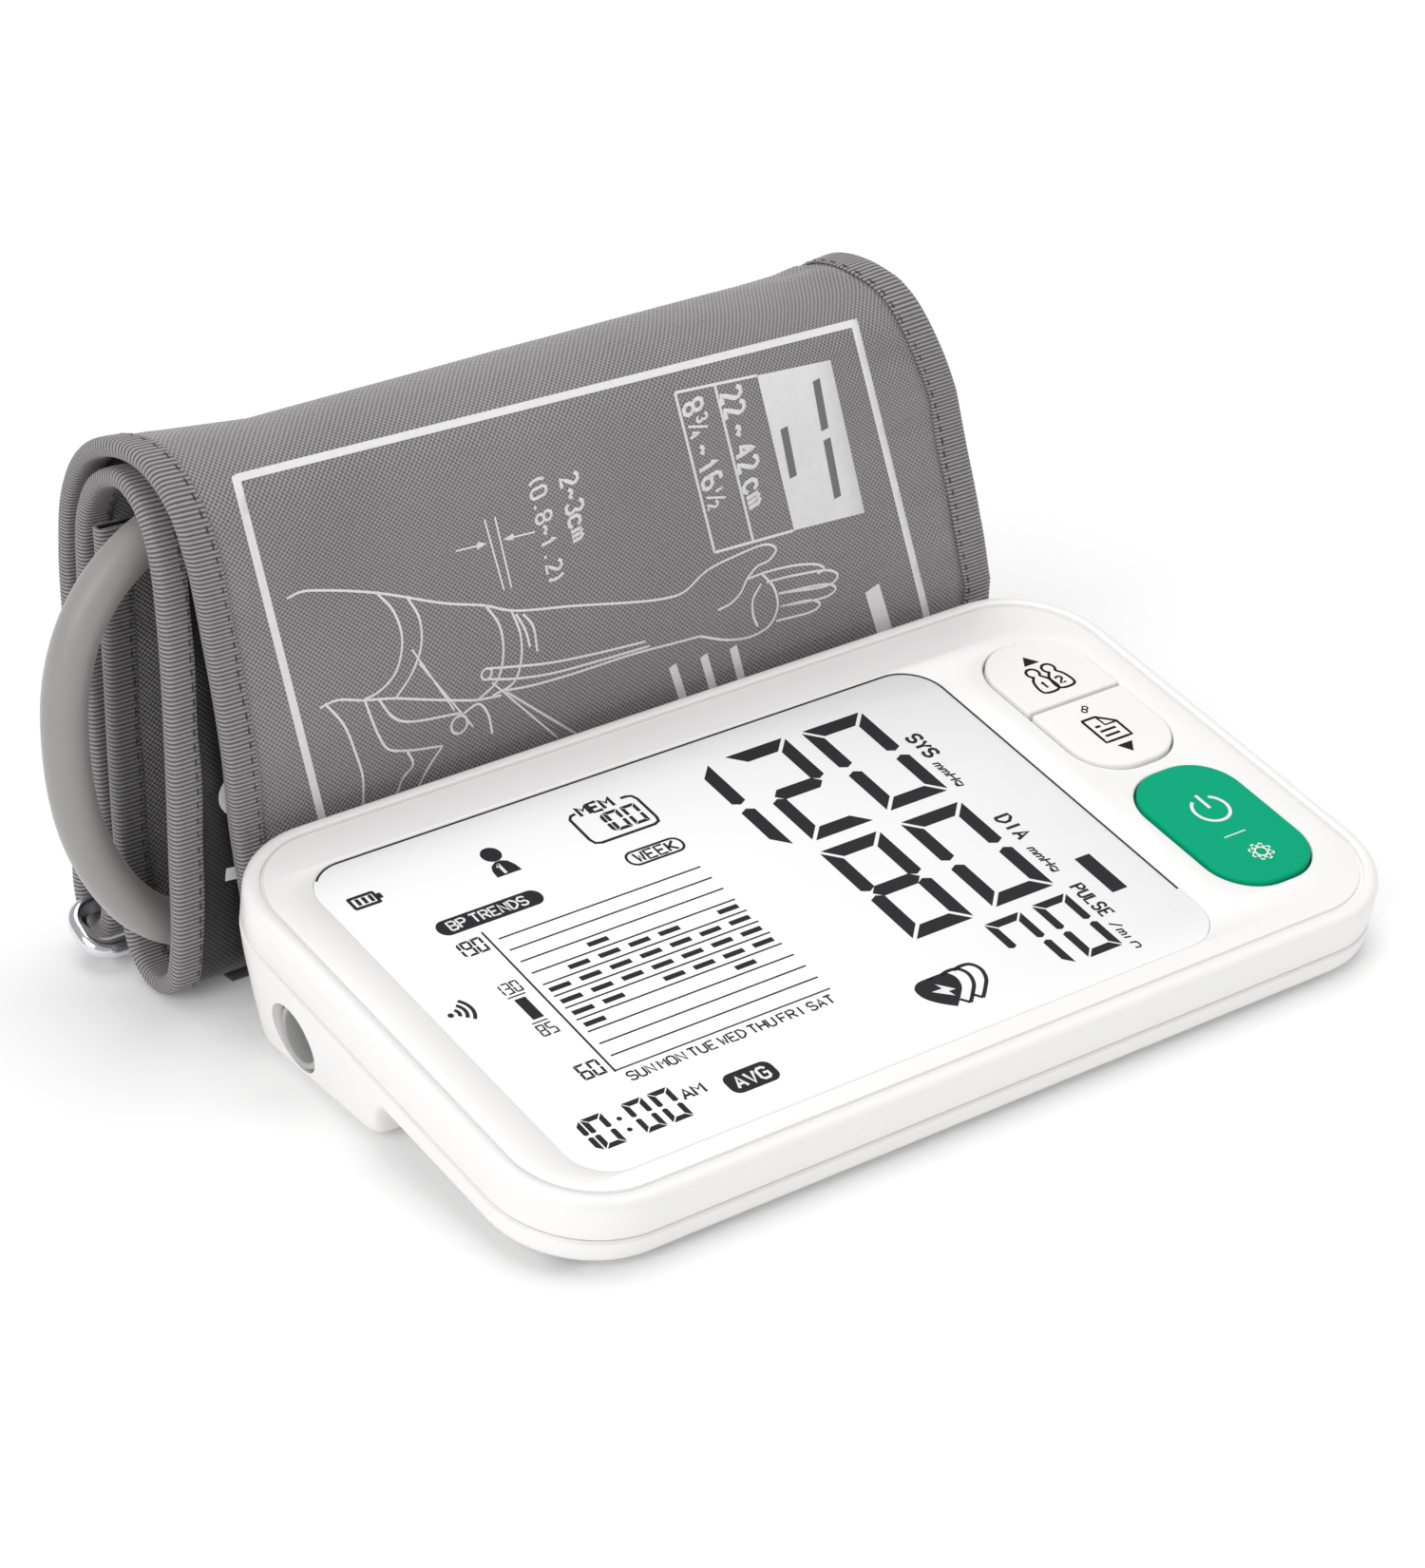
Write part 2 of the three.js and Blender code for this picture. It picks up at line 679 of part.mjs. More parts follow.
const layer = (s0, s1, x0, x1, t0, t1) =>
  bend(outline([[x0, t0], [x1, t0], [x1, t1], [x0, t1]]), s0, s1);

const cuff = new THREE.Group();
root.add(cuff);
const clothInset = gap + bindingThick; // the cloth stops short of the binding's fold
const clothRight = cuffWidth - clothInset;
const clothLow = half - fabric;
add(cuff, "loop_cloth", layer(0, stripLength, clothInset, clothRight, clothLow, half), greyCloth);
add(cuff, "printed_cloth", layer(0, stripLength, clothInset, clothRight, -half, -clothLow), greyCloth);
const bladderFrom = 92;
const bladderTo = 318;
const bladderEdge = (cuffWidth - bladderWidth) / 2;
const bladder = layer(
  bladderFrom,
  bladderTo,
  bladderEdge,
  cuffWidth - bladderEdge,
  -bladderThick / 2,
  bladderThick / 2,
);
add(cuff, "bladder", bladder, material(0xcfcdc8, 0.5));

// Bindings: a folded tape round each long edge.
const tapeIn = half + gap;
const tapeOut = tapeIn + bindingThick;
function binding(edge, inward) {
  const fold = edge + inward * bindingThick;
  const lip = edge + inward * bindingWidth;
  return bend(
    outline([
      [edge, -tapeOut],
      [lip, -tapeOut],
      [lip, -tapeIn],
      [fold, -tapeIn],
      [fold, tapeIn],
      [lip, tapeIn],
      [lip, tapeOut],
      [edge, tapeOut],
    ]),
    0,
    stripLength,
  );
}
add(cuff, "left_binding", binding(0, 1), bindingCloth);
add(cuff, "right_binding", binding(cuffWidth, -1), bindingCloth);

// Fastener patches on the strip's loop side, facing each other between the two front turns.
const patchEdge = (cuffWidth - patchWidth) / 2;
const patch = (s0, s1) => layer(s0, s1, patchEdge, cuffWidth - patchEdge, tapeIn, tapeIn + patchThick);
const hookLength = 62;
const hookEnd = stripLength - 8;
const loopFrom = 134;
const loopTo = 186;
add(cuff, "hook_patch", patch(hookEnd - hookLength, hookEnd), material(0x5f5d61, 0.9));
add(cuff, "loop_patch", patch(loopFrom, loopTo), material(0x6b696d, 0.95));

// The wire ring that the strip runs through, and the tab that holds its lower bar.
const ringLeft = cuffLeft - ringOverhang;
const ringRight = cuffLeft + cuffWidth + ringOverhang;
const ringRound = 3.4;
const ringShape = roundedShape(
  ringLeft + ringBevel - wireRadius,
  ringBevel - wireRadius,
  ringRight - ringBevel + wireRadius,
  ringSpan - ringBevel + wireRadius,
  ringRound,
);
const ringHole = roundedShape(
  ringLeft - ringBevel + wireRadius,
  wireRadius - ringBevel,
  ringRight + ringBevel - wireRadius,
  ringSpan + ringBevel - wireRadius,
  ringRound - 1,
);
ringShape.holes.push(ringHole);
const ringOptions = {
  depth: 2 * (wireRadius - ringBevel),
  bevelThickness: ringBevel,
  bevelSize: ringBevel,
  bevelSegments: 1,
  curveSegments: 3,
};
const ring = new THREE.ExtrudeGeometry(ringShape, ringOptions)
  .translate(0, 0, ringBevel - wireRadius)
  .rotateX(ringAngle)
  .translate(0, tabBar.y, tabBar.z);
add(cuff, "d_ring", ring, steel);

const tabRadius = wireRadius + gap + tabThick;
const tabLeft = cuffLeft + (cuffWidth - tabWidth) / 2;
const tabFloor = 0.1;
const tabEdge = 104.6;
const tabKnee = 113;
const tabTail = outline([
  [tabEdge, tabFloor],
  [tabKnee, tabFloor],
  [tabBar.y, tabBar.z - tabRadius],
  [tabBar.y, tabBar.z - tabRadius + tabThick],
  [tabKnee, tabFloor + tabThick],
  [tabEdge, tabFloor + tabThick],
]);
const alongX = new THREE.Matrix4().set(0, 0, 1, tabLeft, 1, 0, 0, 0, 0, 1, 0, 0, 0, 0, 0, 1);
const tail = new THREE.ExtrudeGeometry(tabTail, { depth: tabWidth, bevelEnabled: false });
const barAt = (x) => [x, tabBar.y, tabBar.z];
const tab = solid(rod(barAt(tabLeft), barAt(tabLeft + tabWidth), tabRadius, 16))
  .add(solid(tail.applyMatrix4(alongX)))
  .subtract(solid(rod(barAt(tabLeft - 1), barAt(tabLeft + tabWidth + 1), wireRadius + gap, 16)));
add(cuff, "d_ring_tab", tab, bindingCloth);

// Bladder port on the inside of the front turn, its hose and the hose's plug, stored in the roll's core.
const coreY = 109.8;
const portX = cuffLeft + 120;
const portZ = 21;
const portFace = 103.1;
const portAt = (y) => [portX, y, portZ];
const nozzleEnd = portX - 6;
const port = solid(rod(portAt(portFace), portAt(portFace + 1), portFlange, 20))
  .add(solid(rod(portAt(portFace), portAt(coreY), 3.1)))
  .add(solid(new THREE.SphereGeometry(3.1, 16, 10).translate(...portAt(coreY))))
  .add(solid(rod(portAt(coreY), [nozzleEnd, coreY, portZ], 2.4)));
add(cuff, "bladder_port", port, material(0x8f8d8c, 0.6));

const hoseStart = nozzleEnd - gap;
const plugFrom = 36;
const hoseRoute = new THREE.CatmullRomCurve3(
  [
    [hoseStart, 21],
    [104, 20.6],
    [93, 17.2],
    [80, 12],
    [66, 9.3],
    [48, 8.6],
    [28, 8.6],
    [13.5, 8.8],
    [4.2, 11],
    [-2.4, 16.2],
    [-7.5, 24.2],
    [-10.9, 34],
    [-12.1, 45.4],
    [-11.3, 56.4],
    [-8, 65.4],
    [-2.2, 72.4],
    [5.4, 76.9],
    [15, 78.6],
    [40, 78.9],
    [75, 78.9],
    [103, 78.9],
    [117.5, 78.8],
    [128.4, 74.3],
    [132.9, 63.4],
    [128.4, 52.5],
    [117.5, 48],
    [103, 47.6],
    [70, 47.4],
    [plugFrom, 47.4],
  ].map(([x, z]) => new THREE.Vector3(x, coreY, z)),
  false,
  "centripetal",
);
const rubberGrey = material(0x8b8986, 0.6);
add(cuff, "air_hose", sweep(hoseRoute, hoseRadius, 68, 8), rubberGrey);
const plugTip = plugFrom - gap - plugLength;
const plugProfile = [
  [0, 0],
  [2, 0],
  [2.6, 1],
  [2.6, 5],
  [plugRadius - 0.6, 5],
  [plugRadius, 5.6],
  [plugRadius, 14],
  [3.6, plugLength],
  [0, plugLength],
].map(([r, h]) => new THREE.Vector2(r, h));
const plug = new THREE.LatheGeometry(plugProfile, 20).rotateZ(-Math.PI / 2);
add(cuff, "air_plug", plug.translate(plugTip, coreY, 47.4), material(0x9a9896, 0.5));

// The rolled parts' frame: the middle of the object's box, on the table, without hose and plug.
const loose = new Set(["air_hose", "air_plug"]);
const extent = new THREE.Box3();
root.updateMatrixWorld(true);
root.traverse((piece) => {
  if (piece.isMesh && !loose.has(piece.name)) extent.expandByObject(piece, true);
});
const middle = extent.getCenter(new THREE.Vector3());
root.position.set(-middle.x, -middle.y, -extent.min.z);

export default root;
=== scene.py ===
# A desktop blood pressure monitor and its rolled upper-arm cuff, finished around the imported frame.
import math
import bmesh
import bpy
import numpy as np
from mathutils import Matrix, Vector
from mathutils.geometry import tessellate_polygon


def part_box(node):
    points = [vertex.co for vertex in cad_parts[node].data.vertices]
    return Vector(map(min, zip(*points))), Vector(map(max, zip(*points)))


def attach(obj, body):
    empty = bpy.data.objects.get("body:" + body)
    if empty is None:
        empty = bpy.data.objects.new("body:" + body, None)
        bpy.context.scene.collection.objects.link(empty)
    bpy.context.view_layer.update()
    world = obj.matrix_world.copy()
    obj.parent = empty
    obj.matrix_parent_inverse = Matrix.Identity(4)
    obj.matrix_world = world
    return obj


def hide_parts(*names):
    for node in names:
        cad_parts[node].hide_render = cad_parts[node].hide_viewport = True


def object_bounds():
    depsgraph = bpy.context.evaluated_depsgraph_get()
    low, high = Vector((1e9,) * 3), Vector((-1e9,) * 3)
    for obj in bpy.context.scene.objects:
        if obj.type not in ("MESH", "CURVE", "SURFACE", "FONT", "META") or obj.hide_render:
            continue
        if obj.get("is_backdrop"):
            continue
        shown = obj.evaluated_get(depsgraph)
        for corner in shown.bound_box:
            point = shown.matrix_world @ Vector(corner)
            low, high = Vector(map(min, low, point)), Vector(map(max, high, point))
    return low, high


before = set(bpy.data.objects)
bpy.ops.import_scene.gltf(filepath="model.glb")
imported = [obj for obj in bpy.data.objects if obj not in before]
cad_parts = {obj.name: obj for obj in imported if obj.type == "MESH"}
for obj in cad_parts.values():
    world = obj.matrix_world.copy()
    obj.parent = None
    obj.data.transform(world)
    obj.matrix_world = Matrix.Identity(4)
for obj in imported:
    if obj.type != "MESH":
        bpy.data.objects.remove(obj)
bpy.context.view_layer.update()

tau = 2 * math.pi

# Sizes below are millimetres in a drawing frame: x from the case's left side, y from its front edge,
# z from the table. place() turns them into the row frame in metres.
hoseLow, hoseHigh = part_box("air_hose")
coreY = 109.8
origin = np.array([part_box("bottom_cover")[0].x, (hoseLow.y + hoseHigh.y) / 2 - coreY / 1000, 0])

case = {
    "length": 165, "depth": 95, "corner": 17, "tilt": math.radians(11.5), "frontHeight": 12.1,
    "seam": 6.6, "slab": 11.5, "wall": 2, "gap": 0.3, "rimRound": 1.5, "rimWidth": 2.4, "rimRise": 0.24,
    "groove": (0.75, 0.5),  # width and depth
}
caseSin, caseCos = math.sin(case["tilt"]), math.cos(case["tilt"])


def place(points):
    return np.asarray(points, float) / 1000 + origin


def fromCase(points):
    # case frame (along, to the rear, out of the top face) turned by the tilt and lifted
    p = np.asarray(points, float)
    return np.stack([
        p[..., 0],
        p[..., 1] * caseCos - p[..., 2] * caseSin,
        case["frontHeight"] + p[..., 1] * caseSin + p[..., 2] * caseCos,
    ], -1)


def smooth(points, per=12):
    # centripetal spline through the points: each stretch is a cubic whose knots are spaced by root distance
    p = np.asarray(points, float)
    p = np.vstack([2 * p[0] - p[1], p, 2 * p[-1] - p[-2]])
    knots = np.maximum(np.sqrt(np.linalg.norm(np.diff(p, axis=0), axis=1)), 1e-6)[:, None]
    a, b, c = knots[:-2], knots[1:-1], knots[2:]
    p0, p1, p2, p3 = p[:-3], p[1:-2], p[2:-1], p[3:]
    m1 = ((p1 - p0) / a - (p2 - p0) / (a + b) + (p2 - p1) / b) * b
    m2 = ((p2 - p1) / b - (p3 - p1) / (b + c) + (p3 - p2) / c) * b
    t = (np.arange(per) / per)[None, :, None]
    p1, p2, m1, m2 = (v[:, None, :] for v in (p1, p2, m1, m2))
    line = p1 + m1 * t + (3 * p2 - 3 * p1 - 2 * m1 - m2) * t ** 2 + (2 * p1 - 2 * p2 + m1 + m2) * t ** 3
    return np.vstack([line.reshape(-1, p.shape[1]), p[-2]])


# ---- camera and air hose
viewer = np.array([-304.0, -440.2, 361.7])
eye = place(viewer)
aim = place([126.28, 133.56, -13.28])
camera = bpy.data.objects.new("camera", bpy.data.cameras.new("camera"))
bpy.context.scene.collection.objects.link(camera)
camera.location = eye
camera.rotation_euler = Vector(aim - eye).to_track_quat("-Z", "Y").to_euler()
camera.data.lens = 106.47
camera.data.sensor_width = 36
camera.data.clip_start, camera.data.clip_end = 0.05, 20
bpy.context.scene.camera = camera

hose = {
    "radius": 3.6, "length": 0.43,
    "route": [  # x and z in the plane through the roll's core
        (113.0, 21), (104, 20.6), (93, 17.2), (80, 12), (66, 9.3), (48, 8.6), (28, 8.6), (13.5, 8.8),
        (4.2, 11), (-2.4, 16.2), (-7.5, 24.2), (-10.9, 34), (-12.1, 45.4), (-11.3, 56.4), (-8, 65.4),
        (-2.2, 72.4), (5.4, 76.9), (15, 78.6), (40, 78.9), (75, 78.9), (103, 78.9), (117.5, 78.8),
        (128.4, 74.3), (132.9, 63.4), (128.4, 52.5), (117.5, 48), (103, 47.6), (70, 47.4), (36, 47.4),
    ],
}
hoseLine = smooth([(x, coreY, z) for x, z in hose["route"]], 8)
hoseCurve = bpy.data.curves.new("airHose", "CURVE")
hoseCurve.dimensions = "3D"
hoseCurve.bevel_depth = hose["radius"] / 1000
hoseCurve.bevel_resolution = 10
hoseCurve.use_fill_caps = True
hoseSpline = hoseCurve.splines.new("POLY")
hoseSpline.points.add(len(hoseLine) - 1)
hoseSpline.points.foreach_set("co", np.hstack([place(hoseLine), np.ones((len(hoseLine), 1))]).ravel())
hoseSpline.use_smooth = True
airHose = bpy.data.objects.new("airHose", hoseCurve)
bpy.context.scene.collection.objects.link(airHose)
print("camera and hose placed")


# ---- materials
class Value:
    # a socket that takes part in sums: each operator adds one Math node
    def __init__(self, tree, socket):
        self.tree, self.socket = tree, socket

    def math(self, operation, *values):
        node = self.tree.nodes.new("ShaderNodeMath")
        node.operation = operation
        for slot, value in zip(node.inputs, values):
            feed(self.tree, slot, value)
        return Value(self.tree, node.outputs[0])

    def __add__(self, other):
        return self.math("ADD", self, other)

    def __radd__(self, other):
        return self.math("ADD", other, self)

    def __sub__(self, other):
        return self.math("SUBTRACT", self, other)

    def __rsub__(self, other):
        return self.math("SUBTRACT", other, self)

    def __mul__(self, other):
        return self.math("MULTIPLY", self, other)

    def __rmul__(self, other):
        return self.math("MULTIPLY", other, self)

    def sine(self):
        return self.math("SINE", self)


def feed(tree, slot, value):
    # links a Value, or sets a number or colour on the socket itself
    if isinstance(value, Value):
        tree.links.new(value.socket, slot)
    elif isinstance(value, (tuple, list)) and slot.type == "RGBA" and len(value) == 3:
        slot.default_value = (*value, 1)
    else:
        slot.default_value = value


class Finish:
    # one material: node() adds any node, paint() sets the shader
    def __init__(self, name):
        self.material = bpy.data.materials.new(name)
        self.material.use_nodes = True
        self.tree = self.material.node_tree
        self.shader = self.tree.nodes["Principled BSDF"]

    def node(self, kind, settings, inputs, output=0):
        node = self.tree.nodes.new(kind)
        for key, value in settings.items():
            setattr(node, key, value)
        for key, value in inputs.items():
            feed(self.tree, node.inputs[key], value)
        return Value(self.tree, node.outputs[output])

    def place(self):
        return self.node("ShaderNodeTexCoord", {}, {}, "Object")

    def noise(self, vector, scale, detail=2):
        inputs = {"Vector": vector, "Scale": scale, "Detail": detail}
        return self.node("ShaderNodeTexNoise", {}, inputs, "Fac")

    def mix(self, share, low, high):
        return self.node("ShaderNodeMix", {"data_type": "RGBA"}, {0: share, 6: low, 7: high}, 2)

    def bump(self, height, distance, strength=1.0):
        return self.node("ShaderNodeBump", {}, {"Strength": strength, "Distance": distance, "Height": height})

    def paint(self, **inputs):
        names = {
            "colour": "Base Color", "rough": "Roughness", "metal": "Metallic", "normal": "Normal",
            "coat": "Coat Weight", "coatRough": "Coat Roughness", "sheen": "Sheen Weight",
            "sheenRough": "Sheen Roughness", "specular": "Specular IOR Level", "skin": "Subsurface Weight",
            "glow": "Emission Strength",
        }
        for key, value in inputs.items():
            feed(self.tree, self.shader.inputs[names[key]], value)
        return self.material


def shade(colour, share):
    return tuple(min(1, c * share) for c in colour)


def moulded(name, colour, rough=0.4, grain=2400, depth=1.5e-5, vary=0.025, **more):
    # moulded plastic or rubber: slow tone drift, spark-eroded grain in gloss and height
    f = Finish(name)
    at = f.place()
    cloud = f.noise(at, 45, 3)
    speck = f.noise(at, grain, 2)
    tone = f.mix(cloud, shade(colour, 1 - vary), shade(colour, 1 + vary))
    return f.paint(
        colour=tone, rough=rough - 0.05 + speck * 0.1, normal=f.bump(speck + cloud * 0.5, depth), **more,
    )


def metal(name, colour, rough=0.25, brush=(1, 1, 40), vary=0.06):
    # plated or brushed metal: noise stretched along the brushing
    f = Finish(name)
    stretched = f.node("ShaderNodeMapping", {}, {"Vector": f.place(), "Scale": brush})
    streak = f.noise(stretched, 900, 3)
    tone = f.mix(streak, shade(colour, 1 - vary), shade(colour, 1 + vary))
    return f.paint(colour=tone, rough=rough + streak * 0.12, metal=1.0, normal=f.bump(streak, 6e-6))


def woven(name, colour, pitch, rough, depth=5e-5, dark=0.72, sheen=0.25):
    # plain weave on the strip's own coordinates: product of two sine waves, with slubs and a slow drift. The
    # colour darkens where the threads dip, painted shade in the weave's gaps, mixed with its random tone drift
    f = Finish(name)
    uv = f.node("ShaderNodeUVMap", {"uv_map": "strip"}, {})
    across = f.node("ShaderNodeSeparateXYZ", {}, {"Vector": uv}, "X")
    along = f.node("ShaderNodeSeparateXYZ", {}, {"Vector": uv}, "Y")
    at = f.place()
    slub = f.noise(at, 1400, 2)
    cloud = f.noise(at, 28, 4)
    turns = tau * 100 / pitch
    checker = (across * turns).sine() * (along * turns).sine()
    height = checker * 0.8 + 0.5 + slub * 0.3
    # painted shade: the tone follows the thread height, darker in the gaps between threads
    weave = height * 0.85 + cloud * 0.4 - 0.25
    tone = f.mix(weave, shade(colour, dark), shade(colour, 1.4))
    return f.paint(
        colour=tone, rough=rough + (slub - 0.5) * 0.16, normal=f.bump(height, depth), sheen=sheen,
        sheenRough=0.4, specular=0.5,
    )


def ribbed(name, colour, rough=0.7):
    # grosgrain tape: fine warp threads run along the tape, and the ribs cross them; the colour darkens in the
    # valleys between ribs, painted shade
    f = Finish(name)
    uv = f.node("ShaderNodeUVMap", {"uv_map": "strip"}, {})
    across = f.node("ShaderNodeSeparateXYZ", {}, {"Vector": uv}, "X")
    along = f.node("ShaderNodeSeparateXYZ", {}, {"Vector": uv}, "Y")
    ribs = (along * (tau * 100 / binding["ribPitch"])).sine() * 0.5 + 0.5
    warp = (across * (tau * 100 / 0.32)).sine() * 0.5 + 0.5
    fuzz = f.noise(f.place(), 1800, 3)
    height = ribs * 0.85 + warp * 0.15 + fuzz * 0.3
    # painted shade: the tone follows the rib height, darkest in the valleys, with a random fuzz in its tone
    tone = f.mix(height - 0.2, shade(colour, 0.22), shade(colour, 1.5))
    return f.paint(colour=tone, rough=rough + (fuzz - 0.5) * 0.2, normal=f.bump(height, 9e-5), sheen=0.2)


def fuzzy(name, colour, scale=1500, depth=2e-4):
    # hook or brushed loop fabric: cells of standing pile
    f = Finish(name)
    at = f.place()
    cells = f.node("ShaderNodeTexVoronoi", {}, {"Vector": at, "Scale": scale}, "Distance")
    cloud = f.noise(at, 60, 3)
    tone = f.mix(cells * 0.8 + cloud * 0.3, shade(colour, 1.3), shade(colour, 0.6))
    return f.paint(colour=tone, rough=0.9 - cells * 0.1, normal=f.bump(1 - cells, depth), sheen=0.3)


def printed(name, colour, rough=0.5, specular=0.5):
    # ink or thread: even colour with a faint mottle
    f = Finish(name)
    at = f.place()
    mottle = f.noise(at, 900, 3)
    tone = f.mix(mottle, shade(colour, 0.9), shade(colour, 1.04))
    return f.paint(
        colour=tone, rough=rough + (mottle - 0.5) * 0.15, normal=f.bump(mottle, 1.2e-5), specular=specular,
    )


binding = {
    "left": 4.8, "right": 6.2, "out": 1.5, "ribPitch": 0.72, "ribHeight": 0.12,
    "stitchIn": 0.75, "stitchPitch": 2.5, "stitchLength": 1.8, "stitchRadius": 0.17,
}

finish = {
    "case": moulded("caseWhite", (0.90, 0.89, 0.886), 0.34, vary=0.01, coat=0.12, coatRough=0.25),
    "lens": moulded("lensWhite", (0.95, 0.95, 0.95), 0.3, grain=500, depth=2e-6, vary=0.004, specular=0.3),
    "keyWhite": moulded("keyWhite", (0.91, 0.878, 0.868), 0.42, vary=0.012),
    "keyGreen": moulded("keyGreen", (0.0, 0.37, 0.19), 0.5, vary=0.03, specular=0.06),
    "lcdInk": printed("lcdInk", (0.024, 0.024, 0.026), 0.6, specular=0.12),
    "keyInk": printed("keyInk", (0.012, 0.012, 0.013), 0.6, specular=0.12),
    "whiteInk": printed("whiteInk", (0.86, 0.86, 0.86), 0.5),
    "greyInk": printed("greyInk", (0.16, 0.16, 0.165), 0.45),
    "cloth": woven("cuffCloth", (0.275, 0.262, 0.27), 0.9, rough=0.42, depth=1.2e-4, dark=0.4, sheen=0.4),
    # the inner face's colour is near black: the loop side's own dark tone, with painted shade for the inside of
    # the roll
    "innerClothAndShade": woven("cuffInnerClothAndShade", (0.018, 0.017, 0.018), 0.9, rough=0.36, dark=0.5),
    "tape": ribbed("cuffTape", (0.275, 0.264, 0.27)),
    "thread": printed("cuffThread", (0.05, 0.048, 0.05), 0.7),
    "clothInk": printed("cuffPrint", (0.83, 0.82, 0.83), 0.6),
    "hook": fuzzy("hookGrey", (0.11, 0.11, 0.115)),
    "loop": fuzzy("loopGrey", (0.15, 0.15, 0.155), 1100),
    "bladder": moulded("bladderFilm", (0.6, 0.59, 0.56), 0.45),
    "hose": moulded("hoseRubber", (0.3, 0.292, 0.28), 0.42, grain=1500, depth=2.5e-5, vary=0.07, sheen=0.3),
    "plug": moulded("plugGrey", (0.3, 0.3, 0.29), 0.45),
    "chrome": metal("ringChrome", (0.82, 0.82, 0.84), 0.05),
    "socket": moulded("socketGrey", (0.4, 0.4, 0.385), 0.35, coat=0.2),
    "seal": moulded("sealRubber", (0.05, 0.05, 0.05), 0.65),
    "foot": moulded("footRubber", (0.16, 0.16, 0.16), 0.75, depth=4e-5),
    "inner": moulded("innerWhite", (0.78, 0.78, 0.76), 0.5),
    "glass": moulded("lcdGlass", (0.62, 0.65, 0.62), 0.1, coat=0.5),
    "board": moulded("boardGreen", (0.02, 0.16, 0.06), 0.4, vary=0.12),
    "mat": moulded("keyMat", (0.72, 0.72, 0.7), 0.6),
    "cell": moulded("cellJacket", (0.05, 0.17, 0.36), 0.3, coat=0.4),
    "steel": metal("springSteel", (0.62, 0.62, 0.64)),
    "screw": metal("screwSteel", (0.5, 0.5, 0.52), 0.3),
    "pump": moulded("pumpBody", (0.75, 0.72, 0.63), 0.5),
    "valve": moulded("valveBlack", (0.03, 0.033, 0.04), 0.45),
    "tube": moulded("clearTube", (0.6, 0.62, 0.61), 0.3, skin=0.3),
}
print("materials made")


# ---- mesh tools
class Shell:
    # collects grids, strips and flat faces in drawing millimetres, then makes one welded mesh of them
    def __init__(self, turn=lambda p: p):
        self.turn, self.points, self.faces, self.marks, self.count = turn, [], [], [], 0

    def put(self, points, marks=None):
        flat = np.asarray(points, float).reshape(-1, 3)
        start = self.count
        self.points.append(flat)
        marks = np.zeros((len(flat), 2)) if marks is None else marks
        self.marks.append(np.asarray(marks, float).reshape(-1, 2))
        self.count += len(flat)
        return start

    def grid(self, points, closeRows=False, closeColumns=False, marks=None):
        # quads between neighbours of a rows x columns array, joined round where it closes
        rows, columns = points.shape[:2]
        index = np.arange(rows * columns).reshape(rows, columns) + self.put(points, marks)
        if closeRows:
            index = np.vstack([index, index[:1]])
        if closeColumns:
            index = np.hstack([index, index[:, :1]])
        quads = np.stack([index[:-1, :-1], index[1:, :-1], index[1:, 1:], index[:-1, 1:]], -1)
        self.faces += quads.reshape(-1, 4).tolist()
        return self

    def fill(self, *loops):
        # flat face inside the first loop and outside the others
        start = self.put(np.vstack(loops))
        chosen = tessellate_polygon([[Vector(p) for p in loop] for loop in loops])
        self.faces += [[start + i for i in face] for face in chosen]
        return self

    def lathe(self, profile, base, axis, sides=48):
        # profile (radius, height) turned about an axis through base; radius 0 closes on the axis
        r, h = np.asarray(profile, float).T
        axis = np.asarray(axis, float) / np.linalg.norm(axis)
        side = np.cross(axis, [0, 0, 1] if abs(axis[2]) < 0.9 else [1, 0, 0])
        side /= np.linalg.norm(side)
        other = np.cross(axis, side)
        a = np.arange(sides) * tau / sides
        spokes = np.cos(a)[:, None, None] * side + np.sin(a)[:, None, None] * other
        return self.grid(np.asarray(base, float) + spokes * r[None, :, None] + axis * h[None, :, None], True)

    def make(self, name, material, body, sharp=40, uv=False, outward=True):
        points = place(self.turn(np.vstack(self.points)))
        mesh = bpy.data.meshes.new(name)
        mesh.from_pydata(points.tolist(), [], self.faces)
        if uv:
            layer = mesh.uv_layers.new(name="strip")
            corner = np.zeros(len(mesh.loops), np.int32)
            mesh.loops.foreach_get("vertex_index", corner)
            layer.data.foreach_set("uv", np.vstack(self.marks)[corner].ravel())
        work = bmesh.new()
        work.from_mesh(mesh)
        bmesh.ops.remove_doubles(work, verts=work.verts, dist=2e-6)
        bmesh.ops.dissolve_degenerate(work, edges=work.edges, dist=1e-6)
        if outward:
            bmesh.ops.recalc_face_normals(work, faces=work.faces)
        work.to_mesh(mesh)
        work.free()
        mesh.shade_smooth()
        mesh.set_sharp_from_angle(angle=math.radians(sharp))
        mesh.materials.append(material)
        made = bpy.data.objects.new(name, mesh)
        bpy.context.scene.collection.objects.link(made)
        if body:
            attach(made, body)
        return made


def roundLoop(x0, y0, x1, y1, radii, inset=0.0, steps=14):
    # rounded rectangle, anticlockwise from the lower right corner, drawn in by the inset
    if not isinstance(radii, (tuple, list)):
        radii = [radii] * 4
    corners = [(x1, y0, -0.25, 1, -1), (x1, y1, 0, 1, 1), (x0, y1, 0.25, -1, 1), (x0, y0, 0.5, -1, -1)]
    loop = []
    for (x, y, start, sx, sy), radius in zip(corners, radii):
        angles = tau * (start + np.linspace(0, 0.25, steps))
        centre = np.array([x - sx * radius, y - sy * radius])
        rim = max(radius - inset, 0.02)
        push = max(inset - radius + 0.02, 0)
        loop.append(centre - np.array([sx, sy]) * push + rim * np.stack([np.cos(angles), np.sin(angles)], -1))
    return np.vstack(loop)


def raised(loop, height):
    return np.hstack([loop, np.full((len(loop), 1), float(height))])


def tower(profile, outline):
    # walls of a loop swept through (inset, height) pairs
    return np.stack([raised(outline(inset), height) for inset, height in profile])


